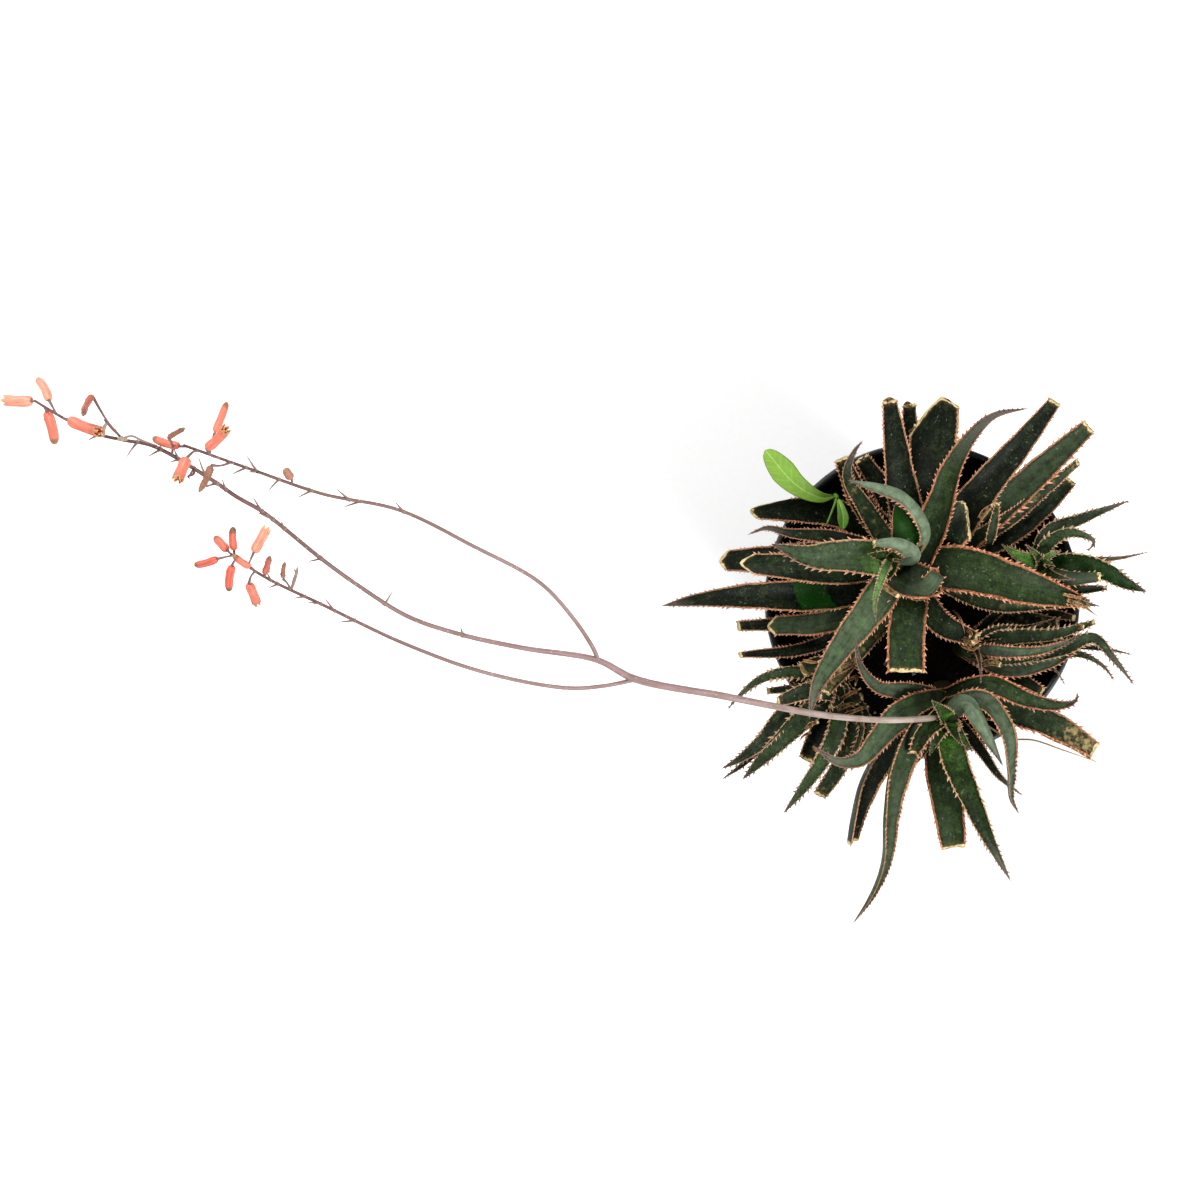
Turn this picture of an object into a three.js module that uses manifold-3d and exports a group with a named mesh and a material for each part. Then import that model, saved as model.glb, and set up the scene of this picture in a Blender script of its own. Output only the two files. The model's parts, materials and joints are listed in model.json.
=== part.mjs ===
// A coral fire aloe in a black nursery pot: five clumped rosettes with toothed leaves, many of them
// trimmed, a leaning flower stalk with three racemes, and a small weed that came up beside it.
//
// Millimetres, +Z up. The origin is the middle of the pot's underside, and the stalk leans towards -X.
import * as THREE from "three";
import { mergeVertices } from "three/addons/utils/BufferGeometryUtils.js";
import Module from "manifold-3d";

const wasm = await Module();
wasm.setup();

// Driving dimensions.
const POT = {
  rimRadius: 79,
  height: 146,
  baseRadius: 58,
  wall: 1.6,
  floor: 2.4,
  collar: 20, // height of the wider band under the rim
  shoulder: 2, // how far the collar steps out from the wall
  lip: 2.2, // how far the rolled rim stands out from the collar
};
const DRAIN = { count: 8, radius: 5, ring: 41 };
const SOIL = { belowRim: 15, bump: 1.6 };
const GAP = 0.3; // running gap between separate pieces
const TOOTH = { spacing: 16.5, base: 2.6, height: 2.1, lean: 0.9 };
const LEAF = { thickness: 0.2, channel: 0.17, baseWidth: 0.72 };
const POT_SIDES = 32;
const STEM_SIDES = 8;

// The plan places below are those seen from straight above, from an eye this far over the rim and
// this far to the side of the pot's axis. A point above the rim is drawn in towards the eye's axis.
const EYE = { x: -161.5, height: 900 };

// Ends and twists that leaves share.
const WHOLE = 0; // an untrimmed leaf runs out to a point
const SLENDER = 1.1; // how early a leaf narrows
const TAPERED = 1.7;
const STOUT = 3;
const FACE_UP = [0, 0];
const BACK_UP = [180, 180]; // curled over, so its back shows

// How a leaf's channel and cut differ from the plain ones. The fold is the channel's depth as a share of
// the width. A slanting cut is highest at its peak, from -1 at the right margin to 1 at the left, and
// falls back by so many millimetres at each margin.
const PLAIN = { fold: LEAF.channel, peak: 0, left: 0, right: 0 };
const FOLDED = { fold: 0.3 };
const GUTTER = { fold: 0.24 };
const SLANT_LEFT = { peak: -0.35, left: 19, right: 5 };
const SLANT_RIGHT = { peak: 0.1, left: 4, right: 20 };
const CORNERED = { peak: 0.7, left: 4, right: 8 };
const ROUND = { left: 8, right: 7 };
const BLUNT = { left: 3, right: 4 };
const SLANT = { from: 0.45, bend: 1.3 }; // where a slanting cut starts to draw back, and how bent it is

// Each head is a stem with its leaves. A leaf's midrib is given as [across, up the page, height over
// the rim] from its root on the stem to its tip, then its width, how early it narrows, the share of
// its width left where it was trimmed, its turn about the midrib at root and tip in degrees, and what
// is not plain about its channel and cut.
const HEADS = {
  head_main: {
    stem: [[2, 14, -34], [1, 15, -6], [-5, 17, 16], [-13, 19, 36], [-17, 20, 48]],
    stemRadius: [9, 5],
    leaves: [
      // the young crown
      [[[-16, 20, 40], [-38, 21.5, 54], [-58, 21.5, 52], [-76, 28, 54]], 17, STOUT, WHOLE, [0, 30]],
      [[[-6, 20, 30], [1, 36, 52], [-6, 50, 66], [-20, 56, 68], [-38, 60, 62]],
        12, STOUT, WHOLE, [150, 200]],
      [[[-12, 19, 44], [-5, 23, 60], [-13, 28, 68], [-25, 28.5, 64]], 8, STOUT, 0.3, BACK_UP],
      [[[-17, 20, 48], [-20.5, 12, 66], [-24, 0, 68], [-23.5, -11, 60]], 5, TAPERED, WHOLE, FACE_UP],
      [[[-14, 17, 34], [-8, 11, 46], [2, 9, 53], [9, 10, 55]], 19, STOUT, 0.6, FACE_UP],
      [[[-10, 14, 38], [-4, 6, 50], [3, 7, 59], [8, 13, 61]], 11, STOUT, 0.7, [175, 200]],
      [[[-12, 18, 34], [-11, 32, 46], [-12, 44, 44]], 13, TAPERED, WHOLE, FACE_UP],
      [[[-13, 16, 30], [-26, -4, 40], [-42, -25, 42], [-53, -43, 36], [-57, -60, 28]],
        18, STOUT, WHOLE, [0, 10]],
      [[[-5, 13, 6], [-24, -12, 24], [-38, -30, 27], [-50, -46, 23]], 13, STOUT, 0.5, FACE_UP],
      [[[-9, 14, 24], [-8, -6, 38], [-9, -20, 42], [-9, -36, 42]], 18, STOUT, 0.95, FACE_UP],
      [[[-6, 17, 20], [22, 15, 36], [50, 7, 38], [83, -2, 24]], 23, 2.2, 0.14, FACE_UP],
      [[[-4, 18, 18], [13, 35, 34], [25, 44, 36]], 20, STOUT, 0.95, FACE_UP, CORNERED],
      [[[-4, 18, 24], [8, 46, 42], [15, 66, 50], [25, 82, 52], [36, 92, 50], [53, 96, 46]],
        19, SLENDER, WHOLE, [0, -45], GUTTER],
      // the rows beneath it, north
      [[[-1, 18, 10], [3, 55, 24], [4.5, 80, 28], [5.5, 102, 30]], 24, STOUT, 0.95, FACE_UP, SLANT_LEFT],
      [[[-3, 18, 16], [-11, 56, 34], [-14, 78, 40], [-17, 100, 42]], 19, TAPERED, 0.35, FACE_UP],
      [[[-2, 18, 0], [-6, 62, 10], [-7, 98, 14]], 10, STOUT, 0.6, FACE_UP],
      [[[-4, 17, 8], [-30, 47, 20], [-41, 71, 22]], 13, STOUT, 0.5, FACE_UP],
      [[[-11, 18, 28], [-29, 46, 34], [-38, 62, 36], [-35, 73, 36], [-30, 80, 34]],
        11, TAPERED, WHOLE, FACE_UP],
      [[[-2, 18, 4], [-20, 54, 14], [-31, 71, 16]], 12, STOUT, 0.6, FACE_UP],
      // west
      [[[-3, 16, 0], [-40, 42, 5], [-62, 45, 8], [-87, 46, 9]], 14, STOUT, 0.75, FACE_UP, SLANT_RIGHT],
      [[[-6, 17, 12], [-45, 31, 24], [-67, 33.5, 26], [-78, 36, 24], [-88, 32.5, 22]],
        11, TAPERED, WHOLE, FACE_UP],
      [[[-2, 16, 0], [-50, 21, 6], [-76, 20.5, 9], [-102, 19.5, 9]], 16, STOUT, 0.6, FACE_UP, BLUNT],
      [[[-9, 18, 20], [-45, 15, 32], [-70, 17, 32], [-92, 18.5, 26]], 14, STOUT, 0.7, FACE_UP, ROUND],
      [[[-3, 14, 6], [-50, 3, 16], [-88, 2, 22], [-113, 0, 22], [-131, -3, 18]], 17, STOUT, WHOLE, FACE_UP],
      [[[-2, 12, 2], [-45, -10, 12], [-78, -13, 12]], 12, STOUT, 0.75, FACE_UP, BLUNT],
      [[[0, 10, -6], [-55, -10, 3], [-93, -13, 5]], 7, STOUT, 0.7, FACE_UP],
      [[[0, 9, -5], [-55, -23, 4], [-92, -27.5, 6]], 8, STOUT, 0.35, FACE_UP],
      // east
      [[[1, 13, -2], [34, -2, 8], [70, -3, 8]], 9, TAPERED, 0.2, FACE_UP],
      [[[2, 17, 4], [30, 56, 18], [48, 77, 24], [66, 99.5, 26]], 20, 1.6, 0.3, FACE_UP],
      [[[2, 16, 0], [42, 50, 14], [62, 68, 20], [83, 87, 22]], 16, STOUT, 0.45, FACE_UP],
      [[[2, 16, 0], [45, 43, 12], [62, 57, 16], [77.5, 70, 18]], 9, STOUT, 0.6, [0, 50]],
      [[[2, 15, -4], [46, 35, 4], [62, 48, 8], [74, 60, 8]], 12, STOUT, 0.5, FACE_UP],
      [[[-8, 12, 14], [8, -11, 20], [27, -20, 20]], 13, STOUT, 0.5, FACE_UP],
    ],
  },
  head_front: {
    stem: [[10, -46, -34], [10, -48, -6], [11, -55, 14], [13, -61, 30]],
    stemRadius: [8, 4.5],
    leaves: [
      [[[10, -52, 4], [9, -78, 14], [12, -102, 18], [15, -124, 16]], 18, STOUT, 0.62, FACE_UP],
      [[[12, -58, 20], [15, -78, 34], [24, -100, 36], [32, -118, 32], [44, -141, 26]],
        14, TAPERED, WHOLE, FACE_UP],
      [[[12, -53, 14], [31, -52, 34], [41, -66, 40], [43.5, -85, 34], [44, -99, 28], [48, -107, 24]],
        12, STOUT, WHOLE, [-20, -60]],
      [[[12, -56, 20], [23, -53, 38], [30, -64, 42], [40, -83, 34]], 11, TAPERED, WHOLE, [160, 180]],
      [[[11, -54, 6], [28, -74, 14], [38, -88, 14], [50, -98, 12]], 7, TAPERED, WHOLE, FACE_UP],
      [[[10, -49, 2], [45, -55, 12], [66, -63, 16], [86, -75, 14]], 15, STOUT, 0.5, FACE_UP],
      [[[10, -48, 10], [33, -42, 24], [52, -49.5, 30], [68, -52.5, 28], [76, -50.5, 26], [77.5, -46, 24]],
        10, STOUT, WHOLE, [0, 20]],
      [[[10, -50, 10], [-9, -45, 24], [-23, -42, 38], [-31, -32, 48], [-34, -18, 56]],
        12, TAPERED, WHOLE, [0, -60]],
      [[[10, -50, 12], [-12, -58, 30], [-23, -70, 38], [-31, -79, 40], [-42, -81, 40], [-55, -73, 38]],
        17, TAPERED, WHOLE, FACE_UP],
      [[[10, -54, 14], [-5, -66, 30], [-14, -86, 38], [-17.5, -108, 38], [-19, -130, 34],
        [-25, -147, 30], [-35, -162, 26]],
        18, 1.4, WHOLE, [-20, -60], FOLDED],
      [[[9, -50, 2], [-17, -72, 14], [-29, -90, 20], [-34.5, -108, 20], [-37, -121, 18]],
        17, STOUT, 0.55, [-20, -65], FOLDED],
      [[[12, -57, 18], [3, -71, 26], [-4, -81, 24], [-10, -86, 22]], 6, TAPERED, WHOLE, FACE_UP],
      [[[13, -60, 28], [8, -54, 42], [4, -50, 48]], 9, TAPERED, WHOLE, FACE_UP],
      [[[13, -61, 28], [16, -67, 44], [20, -73, 50]], 8, TAPERED, WHOLE, FACE_UP],
      [[[12, -58, 24], [7, -68, 34], [3, -78, 32]], 9, TAPERED, WHOLE, FACE_UP],
    ],
  },
  pup_east: {
    stem: [[56, 15, -32], [57, 16, -6], [58, 17, 14]],
    stemRadius: [4.5, 3],
    leaves: [
      [[[57, 16, 0], [62, 33, 10], [80, 41, 14], [104, 50, 14]], 9, TAPERED, WHOLE, FACE_UP],
      [[[58, 17, 8], [62, 28, 20], [72, 33.5, 26], [80, 32.5, 26], [85.5, 29, 24], [82, 24, 22]],
        8, TAPERED, WHOLE, FACE_UP],
      [[[57, 16, 0], [84, 20, 10], [98, 21, 12], [113, 24, 10]], 4, TAPERED, WHOLE, FACE_UP],
      [[[58, 16, 6], [75, 18, 18], [90, 14.5, 20], [101, 8.5, 18], [112, 4, 14]],
        11, STOUT, WHOLE, FACE_UP],
      [[[58, 16, 10], [72, 11, 24], [89, 11.5, 26]], 7, STOUT, 0.6, BACK_UP],
      [[[57, 16, 8], [50, 20, 18], [43, 26, 20]], 9, TAPERED, 0.3, FACE_UP],
      [[[58, 17, 12], [61, 19, 22], [66, 17, 26]], 6, TAPERED, WHOLE, FACE_UP],
      [[[57, 16, -2], [74, 6, 8], [92, 6, 10]], 6, STOUT, 0.3, FACE_UP],
    ],
  },
  pup_south_east: {
    stem: [[19, -24, -34], [20, -24, -8], [23, -24, 6]],
    stemRadius: [6, 4],
    leaves: [
      [[[20, -23, -6], [42, -11, 2], [68, -12, 5]], 11, STOUT, 0.5, FACE_UP],
      [[[22, -23, 2], [44, -18.5, 12], [66, -17, 17], [86, -11, 17]], 9, TAPERED, 0.25, FACE_UP],
      [[[22, -24, 0], [46, -27, 10], [70, -24, 14], [85, -19, 16], [95, -29, 14], [106, -43, 10]],
        10, TAPERED, WHOLE, FACE_UP],
      [[[21, -25, -2], [42, -34, 6], [62, -31, 10], [77, -23, 10]], 9, STOUT, 0.4, FACE_UP],
      [[[20, -25, -8], [60, -28, 3], [78, -27, 6], [90, -33, 6], [96, -41, 3]], 7, TAPERED, WHOLE, FACE_UP],
      [[[22, -24, 0], [60, -22, 6], [94, -25, 9], [105, -27.5, 8]], 4, STOUT, WHOLE, FACE_UP],
      [[[20, -26, -8], [58, -33, 2], [66, -35, 5], [71, -42.5, 3]], 4, TAPERED, WHOLE, FACE_UP],
      [[[20, -26, -6], [46, -38, 0], [60, -46, 2]], 8, STOUT, 0.5, FACE_UP],
      [[[22, -23, -2], [40, -5, 6], [58, -6, 8]], 6, TAPERED, WHOLE, FACE_UP],
      [[[22, -24, 0], [26.5, -26, 18], [28.5, -33, 31], [29, -42, 37]], 4, TAPERED, WHOLE, FACE_UP],
      [[[22, -22, -6], [48, -8, 0], [64, -7, 3], [76, -9, 6]], 7, STOUT, 0.4, FACE_UP],
      [[[22, -24, 4], [45, -26, 17], [60, -25, 20], [72, -21, 19], [80, -16, 15]],
        7, TAPERED, WHOLE, FACE_UP],
    ],
  },
  pup_south_west: {
    stem: [[-41, -40, -32], [-42, -41, -8], [-44, -43, 6]],
    stemRadius: [6, 4],
    leaves: [
      [[[-42, -41, 0], [-64, -36, 12], [-80, -39, 16], [-91, -47, 16], [-98, -55, 12]],
        8, TAPERED, WHOLE, FACE_UP],
      [[[-42, -42, -4], [-62, -44, 6], [-78, -45.5, 9]], 5, STOUT, 0.5, FACE_UP],
      [[[-43, -43, 2], [-69, -57, 12], [-80, -70, 16], [-91, -79, 14], [-101, -84.5, 12]],
        10, STOUT, WHOLE, FACE_UP],
      [[[-42, -42, -4], [-72, -64, 7], [-90, -82, 9], [-101, -90, 8]], 6, STOUT, WHOLE, FACE_UP],
      [[[-43, -43, 2], [-62, -61, 13], [-74, -73, 16], [-82, -81, 14], [-90.5, -90, 10]],
        11, STOUT, WHOLE, FACE_UP],
      [[[-42, -42, -6], [-51, -62, 6], [-59, -80, 8]], 9, STOUT, 0.8, FACE_UP],
      [[[-43, -43, 0], [-43, -64, 12], [-51, -81, 15], [-60, -94, 13], [-70, -107, 10]],
        9, STOUT, WHOLE, FACE_UP],
      [[[-41, -42, -4], [-34, -64, 8], [-42, -83, 10], [-52, -98, 8]], 9, STOUT, 0.7, FACE_UP],
      [[[-40, -42, -2], [-29, -64, 8], [-36, -80, 10]], 8, STOUT, 0.3, FACE_UP],
      [[[-44, -42, 4], [-60, -46, 16], [-73, -51, 18]], 9, STOUT, 0.5, FACE_UP],
      [[[-43, -40, 4], [-50, -32, 14], [-61, -35, 18]], 8, STOUT, 0.9, FACE_UP],
      [[[-42, -42, 2], [-38, -50, 10], [-30, -48, 12]], 8, STOUT, 0.4, FACE_UP],
    ],
  },
};

// The flower stalk and its two side branches, as places like the leaves' with a radius at each.
const STALK = [
  [10, -57, 14, 1.7], [4, -59, 34, 1.6], [-20, -60, 60, 1.55], [-50, -57.5, 85, 1.6],
  [-75, -53, 104, 1.65], [-100, -48, 122, 1.7], [-144, -39.5, 150, 1.7], [-163, -30, 161, 1.3],
  [-200, -24, 180, 1.0], [-232, -17, 195, 0.95], [-258, -8, 206, 0.9], [-282, 7, 216, 0.85],
  [-300, 20, 224, 0.85], [-330, 44, 236, 0.8], [-343, 51.5, 241, 0.8], [-357, 61, 245, 0.75],
  [-385, 77, 253, 0.7], [-400, 80, 257, 0.6], [-413, 83, 260, 0.5], [-428, 90, 263, 0.45],
  [-444, 99.5, 265, 0.4],
];
const NORTH_BRANCH = [
  [-162, -31, 160, 0.8], [-165, -24, 166, 0.8], [-175, -9, 178, 0.75], [-192, 9, 194, 0.7],
  [-225, 27, 214, 0.65], [-262, 45, 230, 0.6], [-300, 53, 242, 0.55], [-335, 65, 251, 0.5],
  [-370, 77.5, 257, 0.45],
];
const SOUTH_BRANCH = [
  [-143, -39.7, 149, 0.8], [-160, -43, 156, 0.75], [-178, -44, 163, 0.75], [-220, -36, 178, 0.7],
  [-260, -21.5, 190, 0.65], [-300, -2.5, 200, 0.55], [-330, 12, 206, 0.5], [-346, 23, 208, 0.45],
];

// Flowers: the place of the mouth of the pedicel, the place of the flower's far end, its width, and
// whether its lobes have opened. Each hangs from the stalk by a pedicel that starts at `from`.
const FLOWERS = [
  { from: [-444, 99.5, 265], base: [-446, 99.5, 264], end: [-459, 100, 256], width: 4.4, open: true },
  { from: [-433, 94, 264], base: [-437, 100, 262], end: [-443, 111, 254], width: 3.2, open: false },
  { from: [-440, 98, 264], base: [-438, 94, 260], end: [-434, 78, 250], width: 3.8, open: false },
  { from: [-430, 90.5, 263], base: [-427, 90, 266], end: [-411, 84, 272], width: 4.2, open: true },
  { from: [-409, 82, 259], base: [-416.5, 99, 267], end: [-420, 92, 279], width: 2.4, open: false },
  { from: [-368, 77, 257], base: [-372, 77, 256], end: [-385, 81, 249], width: 3.2, open: false },
  { from: [-381, 76, 252], base: [-377, 81.5, 262], end: [-369, 86, 268], width: 2.0, open: false },
  { from: [-362, 75.5, 256], base: [-368, 71, 262], end: [-373, 59.5, 266], width: 4.2, open: true },
  { from: [-351, 72, 254], base: [-358, 76, 262], end: [-348, 86, 268], width: 3.8, open: true },
  { from: [-356, 74, 255], base: [-354, 84, 256], end: [-348, 99, 250], width: 2.8, open: false },
  { from: [-345, 70, 253], base: [-356, 67, 258], end: [-362, 54, 262], width: 2.6, open: false },
  { from: [-315, 59, 246], base: [-316, 61, 247], end: [-319, 65.5, 250], width: 3.2, open: false },
  { from: [-345, 22.5, 208], base: [-353, 20.5, 206], end: [-364, 17.5, 198], width: 3.2, open: false },
  { from: [-346, 23, 208], base: [-348, 25, 208], end: [-354, 31.5, 202], width: 3.4, open: false },
  { from: [-344, 22, 208], base: [-344.5, 25, 211], end: [-345, 36.5, 215], width: 3.0, open: false },
  { from: [-333, 14, 207], base: [-336.5, 16.5, 212], end: [-345, 22.5, 217], width: 2.8, open: false },
  { from: [-343, 21, 208], base: [-345.5, 17, 205], end: [-347, 4.5, 197], width: 3.4, open: false },
  { from: [-337, 17, 207], base: [-334.5, 24, 208], end: [-328, 36, 202], width: 4.0, open: true },
  { from: [-334, 14.5, 206], base: [-337, 8, 203], end: [-333, -2, 194], width: 3.8, open: true },
  { from: [-329, 11.5, 206], base: [-329, 13, 208], end: [-326.5, 22, 212], width: 2.6, open: false },
  { from: [-316, 5.5, 203], base: [-320, 11, 206], end: [-319, 19, 210], width: 1.9, open: false },
];

// Dry bracts and pedicel stubs: the place on the stalk and the bract's tip.
const BRACTS = [
  [[-393, 79, 255], [-397, 73, 258]], [[-381, 75, 252], [-386, 72.5, 250]],
  [[-352, 59, 243], [-358, 57, 240]], [[-301, 20.5, 224], [-306, 19.5, 222]],
  [[-268, -1, 210], [-266, 3, 212]], [[-230, -17.5, 194], [-231, -14, 197]],
  [[-333, 64.5, 250], [-337, 70.5, 254]], [[-338, 66, 251], [-344, 63.5, 248]],
  [[-322, 60, 248], [-326, 56, 246]], [[-305, 55, 244], [-311, 52, 242]],
  [[-287, 51, 238], [-292, 54.5, 240]], [[-281, 49, 236], [-288, 47, 234]],
  [[-260, 44.5, 229], [-263, 48, 232]], [[-315, 5, 203], [-312.5, 15, 207]],
  [[-322, 8, 204], [-326, 6.5, 202]], [[-294, -5.5, 198], [-298, -0.5, 202]],
  [[-285, -10.5, 196], [-291, -11, 194]],
];

// The weed: each leaf as places like the aloe's, with its width; the bare stem has no blade.
const WEED_STEM = [[-44, 52, -26], [-44, 52.5, -8], [-43.5, 52, 6], [-43, 51.5, 14]];
const WEED = [
  { places: [[-43.5, 52, 8], [-52, 51.5, 17], [-64, 58, 22], [-79, 75, 20]], width: 15 },
  { places: [[-43, 51.5, 12], [-41.5, 48, 16.5], [-40, 42, 18], [-40, 35.5, 17]], width: 6 },
];
const WEED_TWIG = [[-43, 51.5, 12], [-44.5, 47, 16.5], [-48, 38, 17]];

const soilTop = POT.height - SOIL.belowRim;
const radians = (degrees) => (degrees * Math.PI) / 180;
const smooth = (t) => t * t * (3 - 2 * t);
const clamp = (t) => Math.min(1, Math.max(0, t));

// A seen place with its height over the rim, as a point of the part.
function sight([across, up, height]) {
  const nearer = 1 - height / EYE.height;
  return new THREE.Vector3(EYE.x + (across - EYE.x) * nearer, up * nearer, POT.height + height);
}

// Solids from meshes, and meshes from solids.
function solid(positions, faces) {
  return new wasm.Manifold(
    new wasm.Mesh({
      numProp: 3,
      vertProperties: new Float32Array(positions),
      triVerts: new Uint32Array(faces),
    }),
  );
}

function solidOf(geometry) {
  const bare = geometry.clone();
  bare.deleteAttribute("normal");
  bare.deleteAttribute("uv");
  const merged = mergeVertices(bare, 1e-3);
  return solid(merged.attributes.position.array, merged.index.array);
}

function meshOf(name, body, material) {
  const made = body.getMesh();
  const geometry = new THREE.BufferGeometry();
  geometry.setAttribute("position", new THREE.BufferAttribute(made.vertProperties, 3));
  geometry.setIndex(new THREE.BufferAttribute(made.triVerts, 1));
  const mesh = new THREE.Mesh(geometry, material);
  mesh.name = name;
  return mesh;
}

const union = (solids) => solids.reduce((all, next) => all.add(next));

// Joining can close off a hollow or leave a loose sliver, so only the one large body is kept.
const SLIVER = 0.06; // the most that thinning out slivers moves the surface
const sound = (solids) =>
  union(solids)
    .simplify(SLIVER)
    .decompose()
    .reduce((best, next) => (next.volume() > best.volume() ? next : best));

// A closed tube through rings of equal count.
function loft(rings) {
  const count = rings[0].length;
  const positions = rings.flat().flatMap((p) => [p.x, p.y, p.z]);
  const faces = [];
  for (let r = 0; r + 1 < rings.length; r++) {
    for (let i = 0; i < count; i++) {
      const a = r * count + i;
      const b = r * count + ((i + 1) % count);
      faces.push(a, b, b + count, a, b + count, a + count);
    }
  }
  const last = (rings.length - 1) * count;
  for (let i = 1; i + 1 < count; i++) {
    faces.push(0, i + 1, i, last, last + i, last + i + 1);
  }
  return solid(positions, faces);
}

// A round tube through points, with a radius at each.
function tube(points, radii, sides, steps) {
  const curve = new THREE.CatmullRomCurve3(points, false, "centripetal");
  const frames = curve.computeFrenetFrames(steps, false);
  const lengths = points.map((_, i) => i / (points.length - 1));
  const rings = [];
  for (let s = 0; s <= steps; s++) {
    const t = curve.getUtoTmapping(s / steps);
    const span = Math.min(points.length - 2, Math.floor(t * (points.length - 1)));
    const share = (t - lengths[span]) * (points.length - 1);
    const radius = radii[span] + (radii[span + 1] - radii[span]) * share;
    const centre = curve.getPoint(t);
    rings.push(
      Array.from({ length: sides }, (_, i) => {
        const turn = (2 * Math.PI * i) / sides;
        return centre
          .clone()
          .addScaledVector(frames.normals[s], Math.cos(turn) * radius)
          .addScaledVector(frames.binormals[s], Math.sin(turn) * radius);
      }),
    );
  }
  return loft(rings);
}

// Triangles between two lines of points that run side by side from root to tip.
function stitch(faces, left, right) {
  let i = 0;
  let j = 0;
  const add = (a, b, c) => {
    if (a !== b && b !== c && c !== a) faces.push(a, b, c);
  };
  while (i + 1 < left.length || j + 1 < right.length) {
    const onLeft = j + 1 === right.length || (i + 1 < left.length && left[i + 1].t <= right[j + 1].t);
    if (onLeft) {
      add(left[i].index, left[i + 1].index, right[j].index);
      i++;
    } else {
      add(left[i].index, right[j + 1].index, right[j].index);
      j++;
    }
  }
}

// One leaf: a channelled blade, thick along its keel, with teeth along both margins.
function leaf([places, width, taper, cut, turn, unusual]) {
  const { fold, peak, left: leftDrop, right: rightDrop } = { ...PLAIN, ...unusual };
  const rib = new THREE.CatmullRomCurve3(places.map(sight), false, "centripetal");
  const length = rib.getLength();
  const blade = (t) => {
    const point = rib.getPointAt(t);
    const along = rib.getTangentAt(t);
    const up = new THREE.Vector3(0, 0, 1).addScaledVector(along, -along.z).normalize();
    up.applyAxisAngle(along, radians(turn[0] + (turn[1] - turn[0]) * t));
    const side = up.clone().cross(along);
    const swell = LEAF.baseWidth + (1 - LEAF.baseWidth) * smooth(clamp(t / 0.25));
    const half = (width / 2) * swell * (1 - (1 - cut) * t ** taper);
    const thick = Math.max(0.9, LEAF.thickness * width * (1 - 0.65 * t));
    return { point, along, up, side, half, thick };
  };
  // How far a slanting cut has drawn back the point at this share of the half width.
  const drawnBack = (t, share) => {
    const slant = smooth(clamp((t - SLANT.from) / (1 - SLANT.from)));
    const drop = share > peak ? leftDrop : rightDrop;
    return drop * slant * (Math.abs(share - peak) / (1 - Math.sign(share - peak) * peak)) ** SLANT.bend;
  };
  const positions = [];
  const place = (t, across, height, forward = 0) => {
    const { point, along, up, side, half } = blade(t);
    const slide = forward - drawnBack(t, THREE.MathUtils.clamp(across / Math.max(half, 0.1), -1, 1));
    const p = point.addScaledVector(side, across).addScaledVector(up, height).addScaledVector(along, slide);
    positions.push(p.x, p.y, p.z);
    return { t, index: positions.length / 3 - 1 };
  };
  const pointed = cut === WHOLE;
  const last = pointed ? 0.97 : 1;
  const steps = Math.max(4, Math.round(length / 15));
  const middles = Array.from({ length: steps + 1 }, (_, i) => (last * i) / steps);
  const top = middles.map((t) => place(t, 0, 0.12 * blade(t).thick));
  const keel = middles.map((t) => place(t, 0, -blade(t).thick));

  // A margin is one line as the keel side meets it, through the tips of the teeth, and another as the
  // face meets it, which passes behind them.
  const small = Math.min(1, 0.45 + width / 26);
  const teeth = Math.max(3, Math.round((0.72 * length) / TOOTH.spacing));
  const margin = (sign) => {
    const edge = (t, out = 0, forward = 0) => {
      const { half } = blade(t);
      return place(t, sign * (half + out), fold * 2 * half * (1 + Math.min(0, out) / half), forward);
    };
    const under = [edge(0), edge(0.12)];
    const over = [...under];
    const caps = [];
    for (let k = 0; k < teeth; k++) {
      const t = 0.24 + (0.7 * (k + 0.5)) / teeth;
      const size = small * Math.min(1, 0.35 + blade(t).half / 6);
      const reach = (0.5 * TOOTH.base * size) / length;
      const before = edge(t - reach);
      const behind = edge(t, -0.18 * blade(t).half);
      const point = edge(t, TOOTH.height * size, TOOTH.lean * size);
      const after = edge(t + reach);
      under.push(before, point, after);
      over.push(before, behind, after);
      caps.push([before, behind, point], [behind, after, point]);
    }
    const end = edge(last);
    return { under: [...under, end], over: [...over, end], caps };
  };
  const left = margin(-1);
  const right = margin(1);
  if (pointed) {
    const tip = place(1, 0, 0);
    [top, keel, left.under, left.over, right.under, right.over].forEach((line) => line.push(tip));
  }
  const faces = [];
  stitch(faces, left.over, top);
  stitch(faces, top, right.over);
  stitch(faces, right.under, keel);
  stitch(faces, keel, left.under);
  left.caps.forEach(([a, b, c]) => faces.push(a.index, c.index, b.index));
  right.caps.forEach(([a, b, c]) => faces.push(a.index, b.index, c.index));
  const cap = (a, b, c, d) => faces.push(a.index, b.index, d.index, b.index, c.index, d.index);
  cap(left.over[0], top[0], right.over[0], keel[0]);
  if (!pointed) {
    cap(left.over.at(-1), keel.at(-1), right.over.at(-1), top.at(-1));
  }
  return solid(positions, faces);
}

function stem({ stem: places, stemRadius }, spare = 0) {
  const points = places.map(sight);
  if (spare) points[0].z -= spare;
  const radii = points.map((_, i) => {
    const share = i / (points.length - 1);
    return stemRadius[0] + (stemRadius[1] - stemRadius[0]) * share + spare;
  });
  return tube(points, radii, STEM_SIDES, 2 * (points.length - 1));
}

function stalkTube(line, sides, steps, spare = 0) {
  return tube(line.map(sight), line.map((p) => p[3] + spare), sides, steps);
}

// A flower: ribs and lobes round a tube, closed to a bud or spread at the mouth.
const SLIM = 2.7; // a flower narrower than this has withered
const FLOWER_PROFILE = { bud: [[0, 0.45], [0.2, 1], [0.7, 0.9], [1, 0.25]] };
FLOWER_PROFILE.open = [[0, 0.45], [0.2, 0.95], [0.7, 0.88], [1, 1.12]];

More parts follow.
